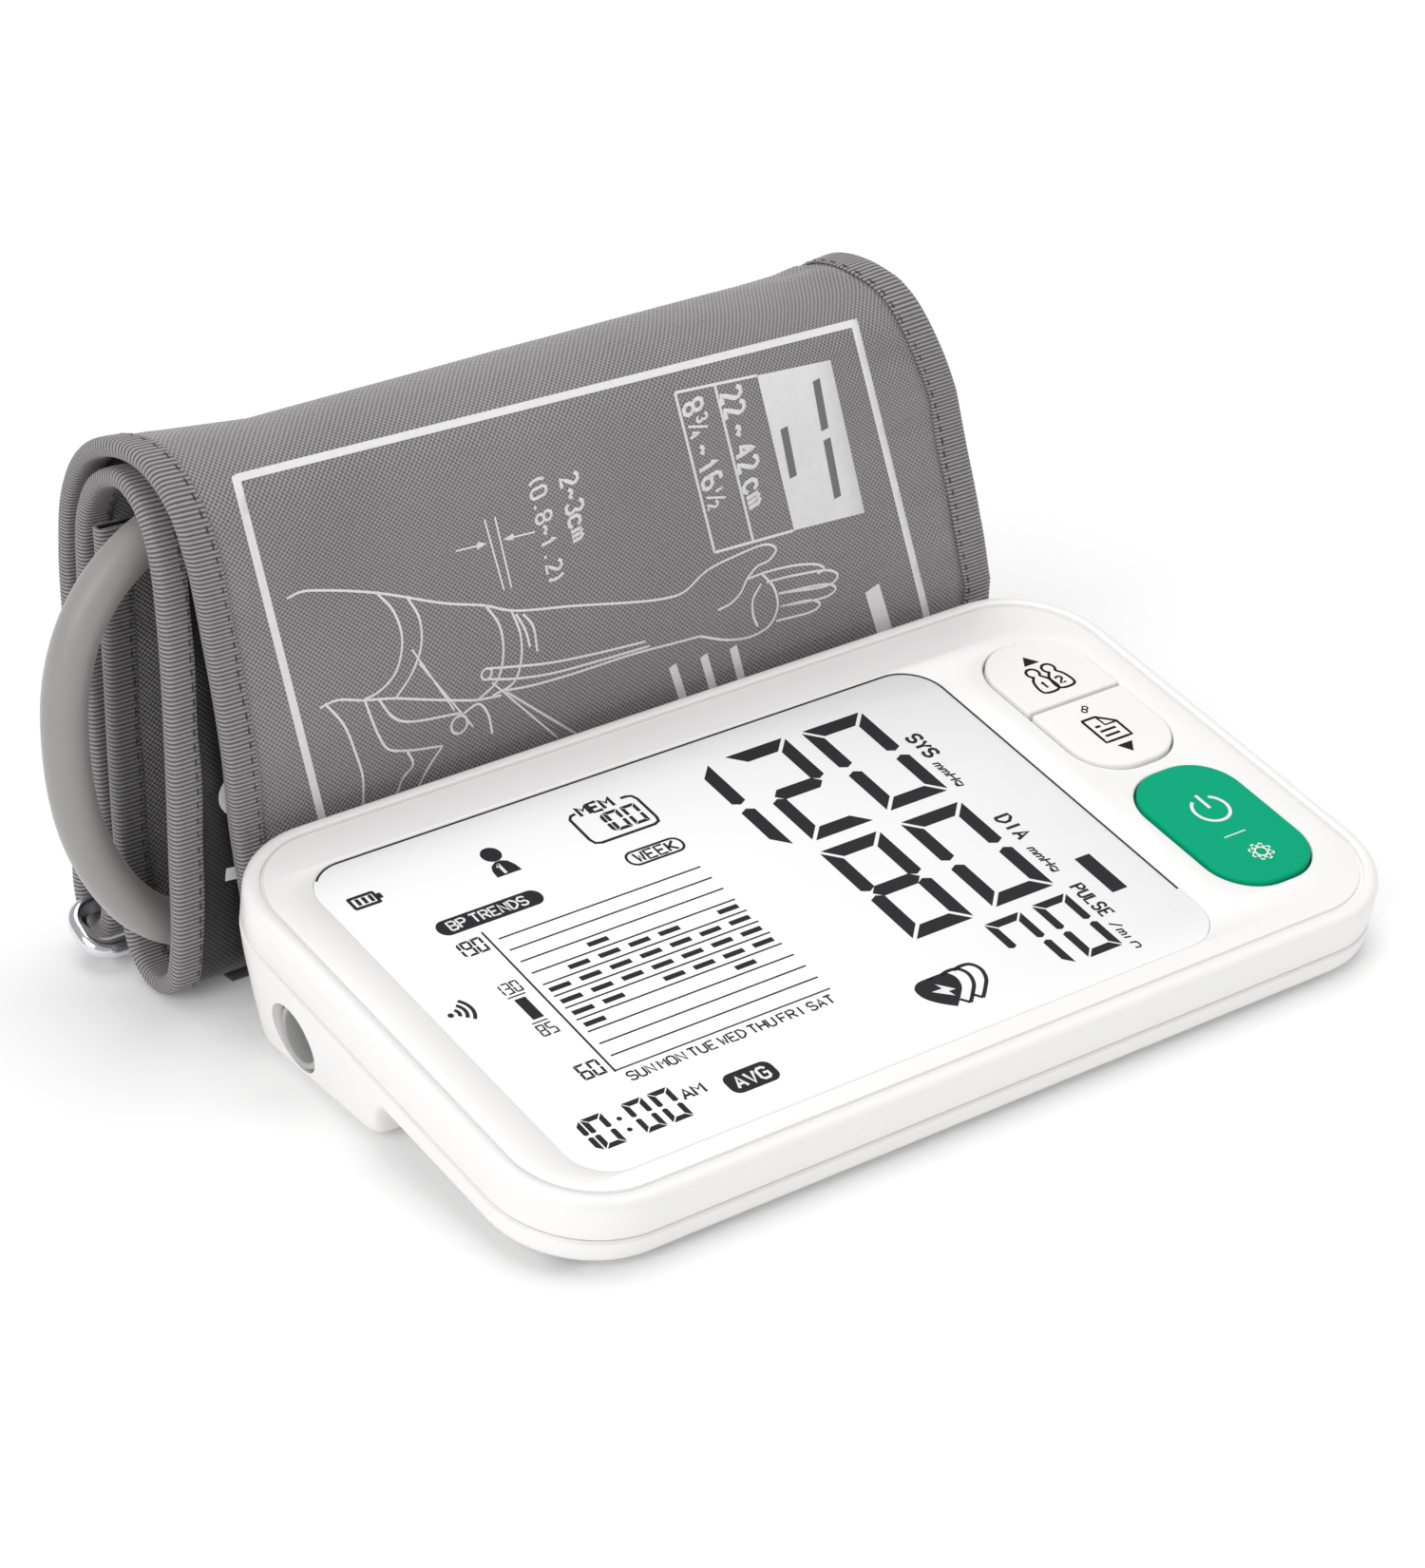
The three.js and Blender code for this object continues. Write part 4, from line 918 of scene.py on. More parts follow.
userInk = Ink(keySurface)
for x, mark in ((144.9, "1"), (148.2, "2")):
    userInk.ring((x, 72.9), 1.15, 0.48, 0.83, 0.86)
    body = [(-0.7, 71.9), (-1.6, 70.6), (-1.7, 67.8), (1.5, 67.8), (1.5, 70.6), (0.7, 71.9)]
    body = [(x + dx, y) for dx, y in body]
    userInk.line(smooth(body, 4), 0.48).write(mark, (x - 0.75, 68.7), (1, 0), 1.7, 0.42, 0.66)
userInk.blob([(148.0, 75.0), (146.3, 77.2), (144.9, 75.0), (146.4, 75.0)])
userMarks = userInk.make("userMarks", finish["keyInk"], "user_button")
memoryInk = Ink(keySurface)
sheetOutline = [(143.6, 58.8), (146.4, 58.8), (149.0, 56.5), (149.0, 52.5), (143.6, 52.5), (143.6, 58.8)]
memoryInk.line(fine(sheetOutline, 0.9), 0.5)
memoryInk.line([(146.4, 58.8), (146.6, 56.4), (149.0, 56.4)], 0.4).line([(144.6, 56.5), (145.6, 56.5)], 0.5)
memoryInk.line([(144.6, 55.2), (147.8, 55.2)], 0.5).line([(144.6, 53.9), (147.6, 53.9)], 0.5)
memoryInk.ring((145.95, 60.9), 0.45, 0.26).ring((146.55, 61.5), 0.45, 0.26)
memoryInk.blob([(144.7, 51.1), (146.2, 48.8), (147.8, 51.1), (146.2, 51.1)])
memoryMarks = memoryInk.make("memoryMarks", finish["keyInk"], "memory_button")
print("display and key marks made")

# ---- the cuff's strip: rolled line in y and z, with the sideways drift of its outer turn
strip = {
    "width": 146, "left": -0.7, "half": 1.0, "fabric": 0.4, "skew": 12, "skewRun": 104, "hem": 0.8,
    "line": [
        (117.2, 78), (117.0, 62), (117.4, 36), (116.9, 14), (114.5, 4.9), (109.5, 2.1), (104.2, 4.0),
        (101.7, 11), (100.6, 26), (99.8, 46), (99.8, 68), (101.6, 80), (105.6, 86.4), (111.2, 88.6),
        (117.8, 85.6), (121.9, 78.6), (123.4, 66), (123.8, 48), (122.8, 28), (122.5, 16), (122.6, 9.2),
        (124.1, 4.9), (127.2, 3.5), (130.1, 4.9), (131.4, 9), (131.0, 17), (129.2, 32), (128.8, 52),
        (128.4, 70), (126.4, 82), (121.4, 90.4), (113.6, 94.3), (105.4, 93.6), (99.2, 88.4), (96.0, 79),
        (95.3, 62), (95.5, 44), (97.0, 31), (97.3, 16), (97.3, 2.6),
    ],
}
stripLine = smooth(strip["line"], 40)
stripAt = np.concatenate([[0], np.cumsum(np.linalg.norm(np.diff(stripLine, axis=0), axis=1))])
stripLength = stripAt[-1]
stripDir = np.gradient(stripLine, stripAt, axis=0)
stripDir /= np.linalg.norm(stripDir, axis=1)[:, None]


def drift(s):
    # sideways skew, rising evenly over the strip's last stretch
    return strip["skew"] * np.clip((s - stripLength + strip["skewRun"]) / strip["skewRun"], 0, 1)


settle = {  # how far the roll's crest sinks across its width, and how its far edge leans by height
    "across": (0, 8, 25, 70, 115, 132, 146), "sink": (4.9, 5.9, 8.6, 8.6, 9.4, 9.7, 8.0),
    "height": (8, 32, 45, 58, 69, 80, 88, 95), "lean": (0, 2.7, 0.3, -1.5, -2.7, -5.2, -7.0, -11.6),
    "core": 0.3,
}


def eased(share):
    # smooth step from 0 to 1
    t = np.clip(share, 0, 1)
    return t * t * (3 - 2 * t)


def onStrip(points):
    # (across, along, out of the loop side): the line's point, moved along its normal and sideways; then the
    # crest sinks with height, the core less because the hose props it, and the far edge leans
    x, s, t = np.moveaxis(np.asarray(points, float), -1, 0)
    y, z, dy, dz = (np.interp(s, stripAt, c) for c in (*stripLine.T, *stripDir.T))
    x, y, z = strip["left"] + x + drift(s), y - dz * t, z + dy * t
    propped = settle["core"] * (1 - eased((s - stripLength + 240) / 30)) * (1 - eased((x - 112) / 20))
    share = eased((z - 55) / 40) * (0.45 + 0.55 * np.clip((y - 98) / 25, 0, 1)) * (1 - propped)
    z = z - np.interp(x, settle["across"], settle["sink"]) * share
    return np.stack([x + np.interp(z, settle["height"], settle["lean"]) * eased((x - 90) / 56), y, z], -1)


def relief(x, s):
    # how far the cloth stands proud: a slow billow, and puckers that die away from the bindings
    edge = np.minimum(x - binding["left"], strip["width"] - binding["right"] - x)
    right = np.clip((x - 73) / 60, 0, 1)
    hold = eased(edge / 2.6)
    pucker = 0.6 * np.sin(tau * s / 12.5 + 1.7 * np.sin(s / 19))
    pucker = pucker + 0.4 * np.sin(tau * s / 7.3 + np.sin(s / 11))
    near = np.exp(-(np.maximum(edge, 0) / (9 + 4 * right)) ** 2) * (0.2 + 0.45 * right)
    billow = np.sin(x / 21 + 1.3 * np.sin(s / 33)) * np.sin(s / 24 + x / 50) * 0.16
    return hold * (0.22 + billow + near * pucker)


def clothSheet(name, node, side, material, phase):
    # closed sheet: the showing face carries the relief, the inner face follows it at the cloth's thickness
    s = np.linspace(0.02, stripLength - 0.02, 336)
    x = np.linspace(strip["hem"], strip["width"] - strip["hem"], 76)
    across, along = np.meshgrid(x, s)
    out = strip["half"] + relief(across, along + phase)
    outerFace = np.stack([across, along, side * out], -1)
    innerFace = np.stack([across, along, side * (out - strip["fabric"])], -1)[:, ::-1]
    rows = np.concatenate([outerFace, innerFace], 1)
    sheet = Shell(onStrip).grid(rows, closeColumns=True, marks=rows[..., :2] / 100)
    count = len(x)
    for row in (0, len(s) - 1):
        first = row * 2 * count
        sheet.faces += [[first + i, first + i + 1, first + 2 * count - 2 - i, first + 2 * count - 1 - i]
                        for i in range(count - 1)]
    made = sheet.make(name, material, "cuff", uv=True)
    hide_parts(node)


clothSheet("printedCloth", "printed_cloth", -1, finish["cloth"], 0)
clothSheet("loopCloth", "loop_cloth", 1, finish["innerClothAndShade"], 40)


def layer(name, node, s0, s1, x0, x1, t0, t1, material, slot):
    # flat layer on the strip: rounded section swept along it
    s = np.linspace(s0, s1, int((s1 - s0) / 2.2))[:, None]
    e = (t1 - t0) / 2
    there = np.linspace(x0 + 2, x1 - 2, 8)
    back = np.linspace(x1 - 2, x0 + 2, 8)
    x = np.array([x0 + e, *there, x1 - e, x1, x1 - e, *back, x0 + e, x0])[None]
    t = np.array([t0] * 10 + [(t0 + t1) / 2] + [t1] * 10 + [(t0 + t1) / 2])[None]
    section = np.stack(np.broadcast_arrays(x, s, t), -1)
    made = Shell(onStrip).grid(section, closeColumns=True)
    made.fill(section[0]).fill(section[-1])
    made = made.make(name, material, "cuff")
    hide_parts(node)


patchIn = strip["half"] + 0.5
layer("bladderFilm", "bladder", 92, 318, 14, 132, -0.4, 0.4, finish["bladder"], "bladder_film")
layer("hookPatch", "hook_patch", stripLength - 70, stripLength - 8, 25, 121, patchIn, patchIn + 0.4,
      finish["hook"], "hook_grey")
layer("loopPatch", "loop_patch", 134, 186, 25, 121, patchIn, patchIn + 0.4, finish["loop"], "loop_grey")


# ---- bindings: folded ribbed tape round each long edge, and the stitches that hold it
tapeSection = [  # shares of the tape's width and of its half thickness, round the outside and back inside
    (1, -0.8), (1, -0.93), (0.97, -0.99), (0.77, -1), (0.52, -1), (0.3, -0.99), (0.16, -0.93), (0.07, -0.75),
    (0.02, -0.42), (0, 0), (0.02, 0.42), (0.07, 0.75), (0.16, 0.93), (0.3, 0.99), (0.52, 1), (0.77, 1),
    (0.97, 0.99), (1, 0.93), (1, 0.8), (0.24, 0.78), (0.13, 0.55), (0.1, 0), (0.13, -0.55), (0.24, -0.78),
]
tapeOuter = 19  # how many of them are on the outside


def tapeRound(name, node, edge, inward, width):
    # the section carried along the edge; sine ribs swell its outside and slow waves move its inner hem
    section = np.array(tapeSection) * [width, binding["out"]]
    outside = np.arange(len(section)) < tapeOuter
    turned = np.roll(section, -1, 0) - np.roll(section, 1, 0)
    normal = np.stack([turned[:, 1], -turned[:, 0]], -1) / np.linalg.norm(turned, axis=1)[:, None]
    s = np.arange(0.02, stripLength - 0.02, binding["ribPitch"] / 4)[:, None]
    rib = (binding["ribHeight"] * (0.5 + 0.5 * np.sin(tau * s / binding["ribPitch"])) - 0.03) * outside
    wander = 0.14 * np.sin(s / 8.3 + edge) + 0.1 * np.sin(s / 3.1)
    hem = section[None, :, 0] > width * 0.9
    x = edge + inward * (section[None, :, 0] - normal[None, :, 0] * rib + wander * hem)
    t = section[None, :, 1] - normal[None, :, 1] * rib
    t = t + 0.05 * np.sin(s / 5.7 + edge) * np.sign(t)
    rows = np.stack(np.broadcast_arrays(x, s, t), -1)
    around = np.concatenate([[0], np.cumsum(np.linalg.norm(np.diff(section, axis=0), axis=1))])
    marks = np.stack(np.broadcast_arrays(around[None] / 100, s / 100), -1)
    tape = Shell(onStrip).grid(rows, closeColumns=True, marks=marks)
    tape.faces += [list(range(len(section))), list(range(tape.count - 1, tape.count - len(section) - 1, -1))]
    made = tape.make(name, finish["tape"], "cuff", sharp=60, uv=True)
    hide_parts(node)


tapeRound("leftTape", "left_binding", 0, 1, binding["left"])
tapeRound("rightTape", "right_binding", strip["width"], -1, binding["right"])


def stitches(name, rows):
    # each stitch is a small spindle laid along the strip and sunk at both ends, repeated at its places
    lengthwise = np.linspace(-1, 1, 7)[:, None]
    around = (np.arange(6) * tau / 6)[None]
    thick = binding["stitchRadius"] * np.sqrt(np.clip(1 - lengthwise ** 2, 0, 1)) + 0.001
    one = np.stack(np.broadcast_arrays(
        thick * np.cos(around),
        lengthwise * binding["stitchLength"] / 2,
        thick * np.sin(around) - 0.16 * lengthwise ** 2,
    ), -1)
    thread = Shell(onStrip)
    index = np.arange(42).reshape(7, 6)
    index = np.hstack([index, index[:, :1]])
    quads = np.stack([index[:-1, :-1], index[1:, :-1], index[1:, 1:], index[:-1, 1:]], -1).reshape(-1, 4)
    for x, side, s0, s1 in rows:
        s = np.arange(s0, s1, binding["stitchPitch"])
        slant = 0.12 * np.sin(s * 2.1)
        shape = one * [1, 1, side]
        places = np.stack([x + slant, s, np.full_like(s, side * (binding["out"] + 0.04))], -1)
        start = thread.put(shape[None] + places[:, None, None])
        thread.faces += (quads[None] + start + 42 * np.arange(len(s))[:, None, None]).reshape(-1, 4).tolist()
    made = thread.make(name, finish["thread"], "cuff", sharp=80)


leftSeam = binding["left"] - binding["stitchIn"]
rightSeam = strip["width"] - binding["right"] + binding["stitchIn"]
stitches("leftStitches", [(leftSeam, side, 3, stripLength - 3) for side in (-1, 1)])
stitches("rightStitches", [(rightSeam, side, 3, stripLength - 3) for side in (-1, 1)])
print("cuff strip made, %.0f mm long" % stripLength)

# ---- print on the outer turn's front: frame, size box, measures and arm drawing; words are plain bars
frontRun = stripAt > stripLength - 112
frontZ, frontS = stripLine[frontRun, 1][::-1], stripAt[frontRun][::-1]
panelY = 94.2  # depth of the upright panel that the print is laid out on


def onFront(points):
    # x and height on an upright panel: each point goes along its sight line onto the cloth, found by steps
    p = np.asarray(points, float)
    wanted = np.stack([p[..., 0], np.full_like(p[..., 0], panelY), p[..., 1]], -1) - viewer
    x, height = p[..., 0].copy(), p[..., 1].copy()
    for _ in range(14):
        s = np.interp(height, frontZ, frontS)
        across = x - strip["left"] - drift(s)
        at = onStrip(np.stack([across, s, -(strip["half"] + relief(across, s) + p[..., 2])], -1))
        hit = viewer + wanted * ((at[..., 1] - viewer[1]) / wanted[..., 1])[..., None]
        x, height = x + 0.8 * (hit - at)[..., 0], height + 0.8 * (hit - at)[..., 2]
    return at


def between(a, b, steps=24):
    # evenly spaced points from a to b
    a, b = np.asarray(a, float), np.asarray(b, float)
    return a + (b - a) * np.linspace(0, 1, steps)[:, None]


def panelInk():
    return Ink(onFront, -0.12, 0.06, 0.9)


panelFrame = {
    "left": [(10.3, 90.1), (22.5, 29.5), (26.9, 8)], "right": [(124.7, 86.6), (140.8, 31.4), (147, 8)],
    "line": 1.35,
}
box = panelInk()
for side in ("left", "right"):
    corners = panelFrame[side]
    box.line(np.vstack([between(*corners[:2], 60), between(*corners[1:], 20)[1:]]), panelFrame["line"])
box.line(between(panelFrame["left"][0], panelFrame["right"][0], 90) + [0, -0.55], panelFrame["line"])
box.line(between(panelFrame["left"][2], panelFrame["right"][2], 90), panelFrame["line"])
sizeBox = {"left": [(89.5, 83.0), (97.2, 53.7)], "middle": [(105.5, 81.9), (113.1, 53.2)],
           "right": [(120.1, 80.9), (127.6, 52.4)], "rule": [(97.2, 82.4), (104.9, 53.5)]}
for name in ("left", "rule"):
    box.line(between(*sizeBox[name]), 0.5)
for end in (0, 1):
    box.line(between(sizeBox["left"][end], sizeBox["middle"][end]), 0.5)
leftEdge, rightEdge = between(*sizeBox["middle"]), between(*sizeBox["right"])
for i in range(4):
    near = leftEdge + (rightEdge - leftEdge) * i / 4
    far = leftEdge + (rightEdge - leftEdge) * (i + 1) / 4
    box.strip(near, far)
# ways the size box's captions run and stand
reading, upright = np.array([0.26, -0.965]), np.array([0.965, 0.26])


def inBox(along, up):
    return np.array([91.0, 80.4]) + along * reading + up * upright


box.write("22 ~ 42 cm", inBox(2.0, 7.1), reading, 3.7, 0.8, 0.5)
for text, s, u, height, width in [
    ("8", 0.2, 0, 3.5, 0.76), ("3", 3.2, 1.9, 1.9, 0.5), ("4", 5.3, -0.1, 1.9, 0.5),
    ("~", 8.3, 0.2, 3.0, 0.7), ("16", 11.4, 0, 3.6, 0.76), ("1", 16.8, 1.9, 1.9, 0.5), ("2", 18.8, -0.1, 1.9, 0.5),
]:
    box.write(text, inBox(s, u), reading, height, width, 0.53)
for s in (3.9, 17.4):
    box.line(between(inBox(s, 0), inBox(s + 1.9, 3.5), 6), 0.4)
box.write("2~3cm", (67.6, 74.2), (0.2, -1), 3.1, 0.66, 0.54)
box.write("(0.8~1.2)", (61.6, 75.8), (0.2, -1), 2.8, 0.55, 0.56)
for start, end, width in [  # words stand as plain bars
    ((100.9, 36.0), (102.7, 29.4), 1.5), ((95.0, 36.2), (97.0, 29.4), 1.5), ((88.8, 36.2), (91.0, 29.4), 1.5),
    ((129.4, 38.4), (132.4, 29.4), 3.0),
]:
    box.line(between(start, end), width)
printedBox = box.make("printedBox", finish["clothInk"], "cuff", sharp=60)

boxWords = Ink(onFront, 0.0, 0.11, 0.9)
for start, end in [
    ((117.3, 78.2), (119.2, 69.2)), ((119.6, 67.4), (122.0, 56.6)), ((110.9, 71.6), (112.9, 62.6)),
]:
    boxWords.line(between(start, end), 1.4)
boxWords = boxWords.make("boxWords", finish["greyInk"], "cuff", sharp=60)

drawing = {
    "arm": [(18.0, 68.1), (20.5, 68.5), (24.2, 67.7), (33.7, 64.6), (45.9, 59.4), (53.3, 56.9), (58.1, 54.7),
            (69.6, 52.2), (86.9, 48.5), (91.1, 48.5), (95.5, 50.9), (100.9, 51.9), (107.8, 52.2),
            (109.5, 50.8), (108, 49.3), (105.7, 48.9), (103.6, 47.2)],
    "palm": [(103.6, 47.2), (102.4, 45.2), (100.5, 43.9), (97.8, 43.4)],
    "crease": [(106.5, 45.6), (104.9, 43.3), (105.0, 40.3), (105.9, 38.2)],
    "finger1": [(103.6, 47.2), (107.6, 47.4), (114.3, 46.8), (118.4, 45.6), (119.4, 44.6), (118.0, 44.2)],
    "finger2": [(107.6, 45.6), (113.4, 45.2), (120.7, 44.0), (122.2, 42.7), (121.0, 41.6), (110.0, 42.9)],
    "finger3": [(110.0, 42.9), (120.7, 41.5), (121.8, 40.4), (120.4, 39.6), (110.0, 40.5)],
    "finger4": [(110.0, 40.5), (117.3, 39.6), (118.6, 38.5), (117.5, 37.8), (109.6, 38.1)],
    "heel": [(106.6, 47.4), (109.1, 44.2), (109.9, 40.6), (108.4, 37.8), (104.8, 36.8), (100.0, 37.5),
             (94.3, 39.8)],
    "underArm": [(94.3, 39.8), (88.7, 40.1), (81.3, 40.5), (68.5, 40.5), (61.3, 40.8), (56.0, 41.5)],
    "tubeTop": [(53.2, 46.2), (58, 45.1), (64.9, 43.7), (74.0, 42.7), (83.6, 42.0)],
    "tubeUnder": [(53.4, 44.3), (58, 43.0), (64.9, 41.8), (74.0, 41.3), (84.3, 41.0)],
    "band1": [(33.7, 64.6), (36.6, 60.7), (38.0, 55.5), (36.6, 50.4), (33.5, 48.1), (30.5, 47.5)],
    "band2": [(39.2, 62.2), (41.2, 58.2), (41.4, 53.7), (39.6, 49.5), (36.4, 46.0)],
    "band3": [(53.3, 56.9), (55.8, 52.8), (56.4, 47.7), (55.1, 43.5), (51.5, 41.3)],
    "band4": [(58.1, 54.6), (59.7, 50.0), (59.6, 45.2), (58.2, 42.3), (54.2, 41.2)],
    "underCuff": [(30.5, 47.5), (36, 46.2), (42.0, 44.2), (48.9, 42.0), (51.5, 41.3), (55.9, 40.8)],
    "shoulder": [(22.9, 48.5), (25.9, 48.9), (30.5, 47.5)],
    "side": [(23.8, 49.0), (27.0, 44.4), (28.9, 39.0), (30.0, 34.6), (29.9, 29)],
    "sleeve": [(30.9, 47.3), (33.2, 40.6), (34.8, 37.9), (38.2, 36.6), (44.7, 35.4)],
    "cuffHand": [(33.4, 46.8), (35.9, 43.0), (38.4, 41.5), (48.4, 40.0)],
    "thumb": [(48.8, 39.8), (51.5, 40.6), (53.2, 38.5), (54.0, 34.6)],
    "wristTop": [(38.2, 36.5), (39.2, 33.9), (37.2, 32.0), (35.8, 29)],
    "wristLow": [(44.7, 35.4), (42.0, 32.5), (39.6, 29)],
    "fold1": [(60.2, 53.5), (62.0, 51.0), (62.8, 46.3)],
    "fold2": [(58.9, 53.9), (60.6, 50.6), (61.4, 47.5)],
}
armDrawing = panelInk()
for points in drawing.values():
    armDrawing.line(smooth(points, 7), 0.42)
for start, end in [
    ((39.7, 53.4), (47.1, 40.8)), ((40.9, 50.7), (50.5, 36.9)), ((54.2, 43.5), (66.5, 30.0)),
    ((56.8, 41.1), (70.1, 29.6)), ((53.5, 71.3), (56.8, 58.5)), ((55.4, 71.2), (58.2, 58.5)),
    ((48.1, 67.5), (53.4, 67.2)), ((62.8, 66.7), (57.2, 67.0)),
]:
    armDrawing.line(between(start, end, 16), 0.3)
armDrawing.ring((47.9, 38.1), 1.5, 0.42).ring((53.2, 45.25), 0.95, 0.4)
armDrawing.blob([(54.0, 67.2), (52.2, 67.9), (51.9, 67.3), (52.1, 66.6)])
armDrawing.blob([(56.8, 67.0), (58.7, 66.4), (58.9, 66.9), (58.7, 67.6)])
armDrawing = armDrawing.make("armDrawing", finish["clothInk"], "cuff", sharp=60)


def onInner(points):
    # x and height on the front of the inner turn, which shows past the outer turn's left edge
    p = np.asarray(points, float)
    run = (stripAt > 60) & (stripAt < 150)
    s = np.interp(p[..., 1], stripLine[run, 1], stripAt[run])
    x = p[..., 0] - strip["left"]
    return onStrip(np.stack([x, s, strip["half"] + relief(x, s + 40) + p[..., 2]], -1))


innerPrint = Ink(onInner, -0.12, 0.05)
innerPrint.ring((11.5, 36), 3.4, 1.5).line(between((8.2, 22.4), (15, 21.6)), 2.2)
innerPrint.line(between((9.4, 44.5), (14, 43.9)), 1.4).line(between((9.2, 50.2), (13, 48.2)), 1.2)
innerPrint = innerPrint.make("innerPrint", finish["clothInk"], "cuff", sharp=60)
print("print made")

# ---- ring, tab, port and plug
ring = {"bar": (119.6, 3.5), "span": 8.7, "wire": 1.5, "over": 3.6, "corner": 3.4, "lean": math.radians(29.5)}
lean = np.array([math.cos(ring["lean"]), math.sin(ring["lean"])])


def ringFrame(points):
    # across, up the ring's face, out of it: turned by its lean about the bar in the tab
    p = np.asarray(points, float)
    y = ring["bar"][0] + p[..., 1] * lean[0] - p[..., 2] * lean[1]
    z = ring["bar"][1] + p[..., 1] * lean[1] + p[..., 2] * lean[0]
    return np.stack([p[..., 0], y, z], -1)


around = np.arange(16) * tau / 16
ringLeft, ringRight = strip["left"] - ring["over"], strip["left"] + strip["width"] + ring["over"]
wirePath = np.stack([
    raised(roundLoop(ringLeft, 0, ringRight, ring["span"], ring["corner"], -ring["wire"] * math.cos(a), 12),
           ring["wire"] * math.sin(a)) for a in around
], 1)
dRing = Shell(ringFrame).grid(wirePath, closeRows=True, closeColumns=True)
dRing = dRing.make("dRing", finish["chrome"], "d_ring")
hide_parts("d_ring")

tab = {"left": 11.3, "right": 133.3, "in": 1.85, "out": 2.3, "edge": 104.8, "floor": 0.12}
barY, barZ = ring["bar"]
bend = np.linspace(-0.25 * tau, 0.72 * tau, 30)
loopOut = np.stack([barY + tab["out"] * np.cos(bend), barZ + tab["out"] * np.sin(bend)], -1)
loopIn = np.stack([barY + tab["in"] * np.cos(bend), barZ + tab["in"] * np.sin(bend)], -1)
tailOut = smooth([(tab["edge"], tab["floor"]), (113, tab["floor"]), (117, 0.5), (barY, barZ - tab["out"])], 6)
tailIn = tailOut + [0, tab["out"] - tab["in"]]
tabLoop = np.vstack([tailOut, loopOut[1:], loopIn[::-1], tailIn[:-1][::-1]])
tabX = np.linspace(tab["left"], tab["right"], 60)
tabRows = np.stack([np.hstack([np.full((len(tabLoop), 1), x), tabLoop]) for x in tabX])
tabAlong = np.concatenate([[0], np.cumsum(np.linalg.norm(np.diff(tabLoop, axis=0), axis=1))])
tabMarks = np.stack(np.broadcast_arrays(tabX[:, None] / 100, tabAlong[None] / 100), -1)
ringTab = Shell().grid(tabRows, closeColumns=True, marks=tabMarks)
lastRow = range(ringTab.count - 1, ringTab.count - len(tabLoop) - 1, -1)
ringTab.faces += [list(range(len(tabLoop))), list(lastRow)]
ringTab = ringTab.make("ringTab", finish["tape"], "cuff", uv=True)
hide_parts("d_ring_tab")

portX, portZ = 119.3, 21
port = Shell()
port.lathe([
    (0, 0), (6.2, 0), (6.5, 0.25), (6.5, 0.7), (6.2, 0.95), (3.5, 1.05), (3.1, 1.5), (3.1, 6.4), (2.6, 8.2),
    (1.5, 9.4), (0, 9.7),
], (portX, 103.1, portZ), (0, 1, 0))
port.lathe([
    (0, 0), (2.4, 0), (2.4, 3.6), (2.2, 3.8), (2.4, 4.0), (2.4, 5.6), (2.1, 6), (0, 6),
], (portX, coreY, portZ), (-1, 0, 0), 32)
bladderPort = port.make("bladderPort", finish["plug"], "cuff")
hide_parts("bladder_port")

plugTip = 18.7
plugShape = [
    (0, 0), (1.9, 0), (2.5, 0.8), (2.6, 2.0), (2.35, 2.3), (2.35, 2.9), (2.6, 3.2), (2.6, 5), (4.2, 5),
    (4.8, 5.6), (4.8, 7),
]
for i in range(4):
    at = 7.4 + i * 1.6
    plugShape += [(4.45, at), (4.45, at + 0.4), (4.8, at + 0.7), (4.8, at + 1.2)]
plugShape += [(4.6, 14.4), (3.8, 16.4), (3.7, 17), (0, 17)]
hosePlug = Shell().lathe(plugShape, (plugTip, coreY, 47.4), (1, 0, 0))
hosePlug = hosePlug.make("hosePlug", finish["plug"], "cuff")
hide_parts("air_plug")

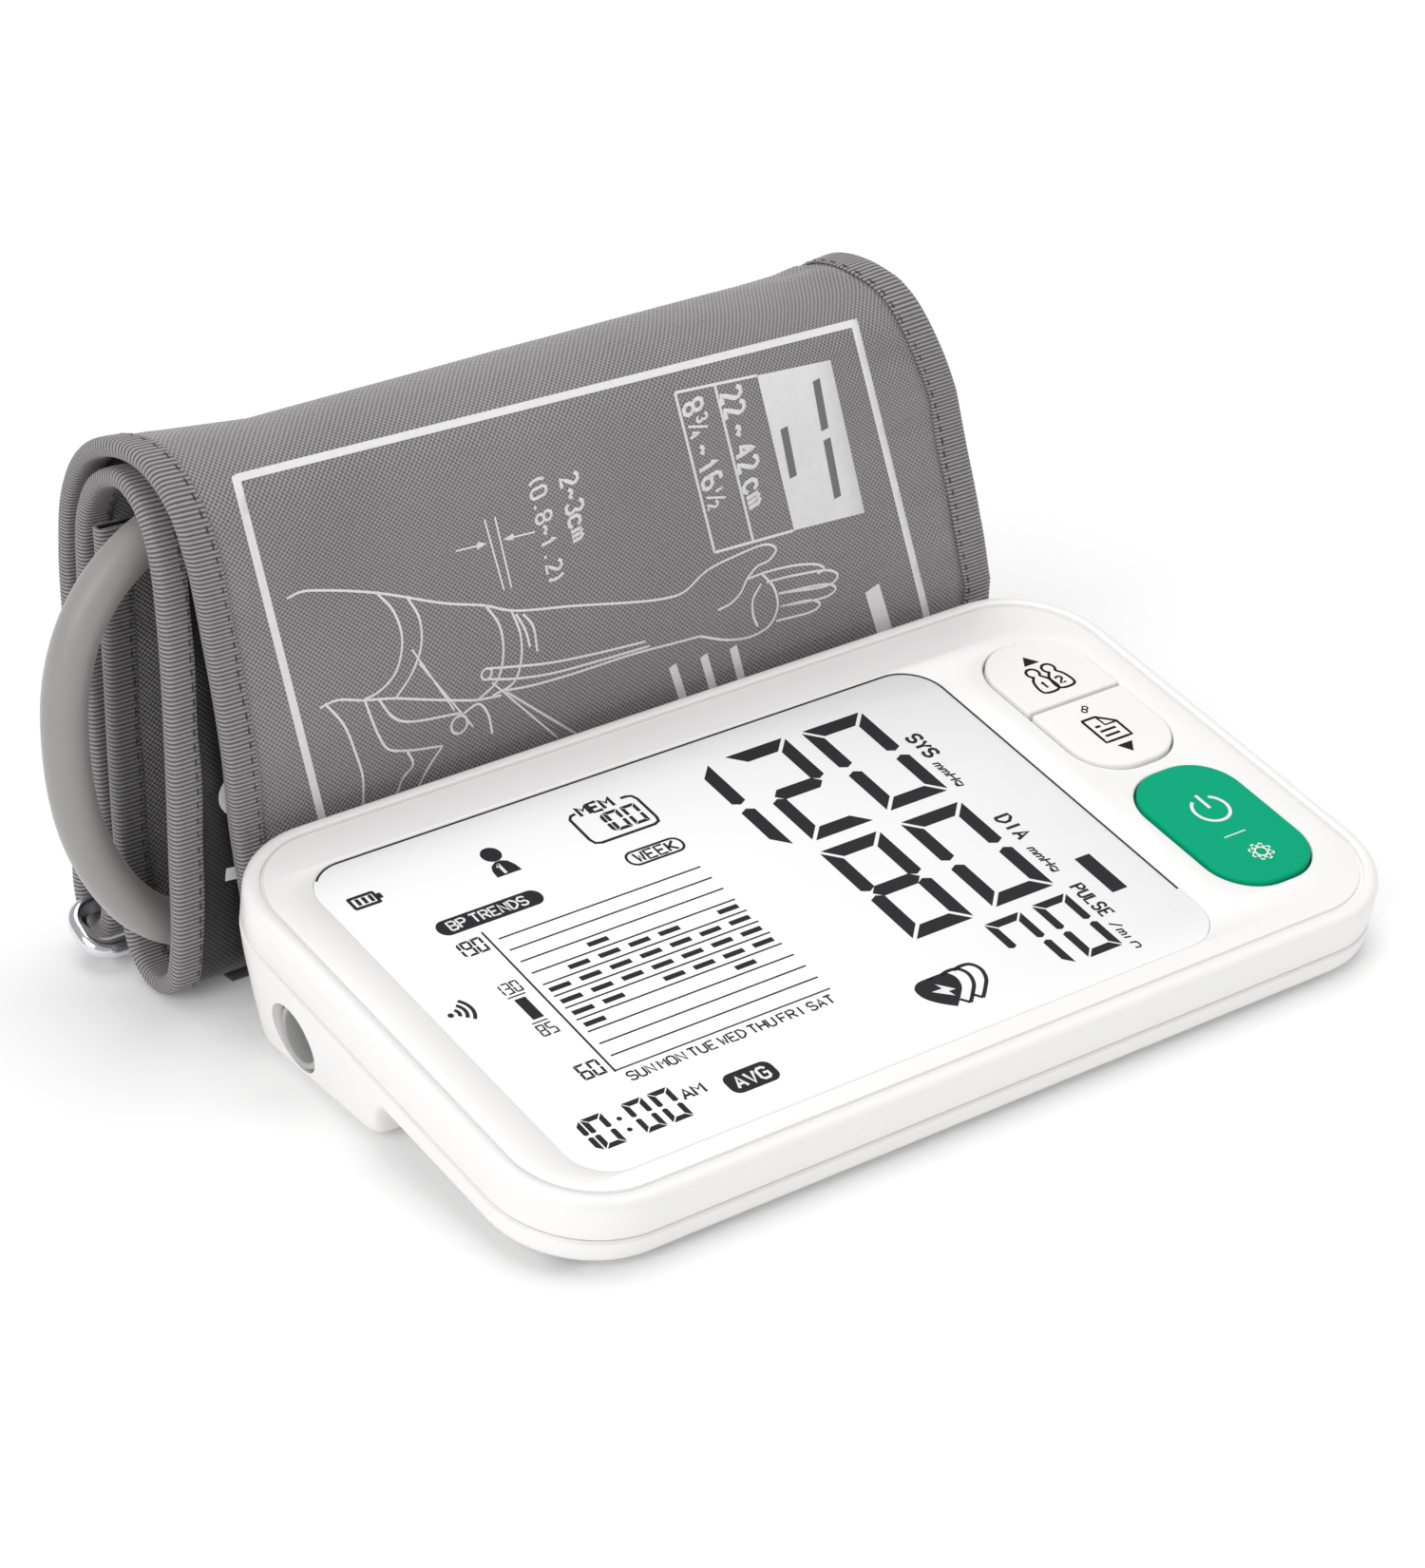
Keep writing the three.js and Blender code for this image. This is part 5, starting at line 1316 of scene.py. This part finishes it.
airHose.data.materials.append(finish["hose"])
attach(airHose, "cuff")
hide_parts("air_hose")
print("ring, tab, port and plug made")

# ---- finishes of the inner nodes that keep their shape
nodeFinish = {
    "lcd_panel": "glass", "lcd_holder": "inner", "lcd_connector": "mat", "circuit_board": "board",
    "key_board": "board", "key_mat": "mat", "battery_cover": "case", "battery_contact": "steel",
    "battery_": "cell",
    "socket_seal": "seal", "pump_motor": "steel", "pump_head": "pump", "air_line": "tube",
    "release_valve": "valve", "pressure_sensor": "valve", "case_screw": "screw",
}
for node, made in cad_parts.items():
    match = next((key for key in nodeFinish if node.startswith(key)), None)
    if match and not made.hide_render:
        made.data.materials.clear()
        made.data.materials.append(finish[nodeFinish[match]])

# ---- floor, light and background
floorMesh = bpy.data.meshes.new("floor")
reach = 6
floorMesh.from_pydata([(-reach, -reach, 0), (reach, -reach, 0), (reach, reach, 0), (-reach, reach, 0)], [],
                      [(0, 1, 2, 3)])
floor = bpy.data.objects.new("floor", floorMesh)
bpy.context.scene.collection.objects.link(floor)
floorPale = moulded("floorPale", (0.93, 0.93, 0.93), 0.6, grain=300, depth=1e-6, vary=0.004, glow=0.08)
floorMesh.materials.append(floorPale)
floor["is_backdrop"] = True

lights = {  # where it shines from, softness in degrees, strength
    "over": ((0.15, 0.3, 1.6), 50, 1.3),
    "left": ((-1.3, -0.6, 0.9), 40, 1.2),
    "right": ((1.2, -0.3, 0.9), 50, 0.2),
}
for name, (source, softness, strength) in lights.items():
    lamp = bpy.data.lights.new(name, "SUN")
    lamp.angle, lamp.energy = math.radians(softness), strength
    light = bpy.data.objects.new(name, lamp)
    light.rotation_euler = (-Vector(source)).to_track_quat("-Z", "Y").to_euler()
    bpy.context.scene.collection.objects.link(light)
world = bpy.data.worlds.new("studio")
bpy.context.scene.world = world
world.use_nodes = True
world.node_tree.nodes["Background"].inputs["Color"].default_value = (1, 1, 1, 1)
world.node_tree.nodes["Background"].inputs["Strength"].default_value = 0.45
bpy.context.scene.view_settings.view_transform = "Standard"

low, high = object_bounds()
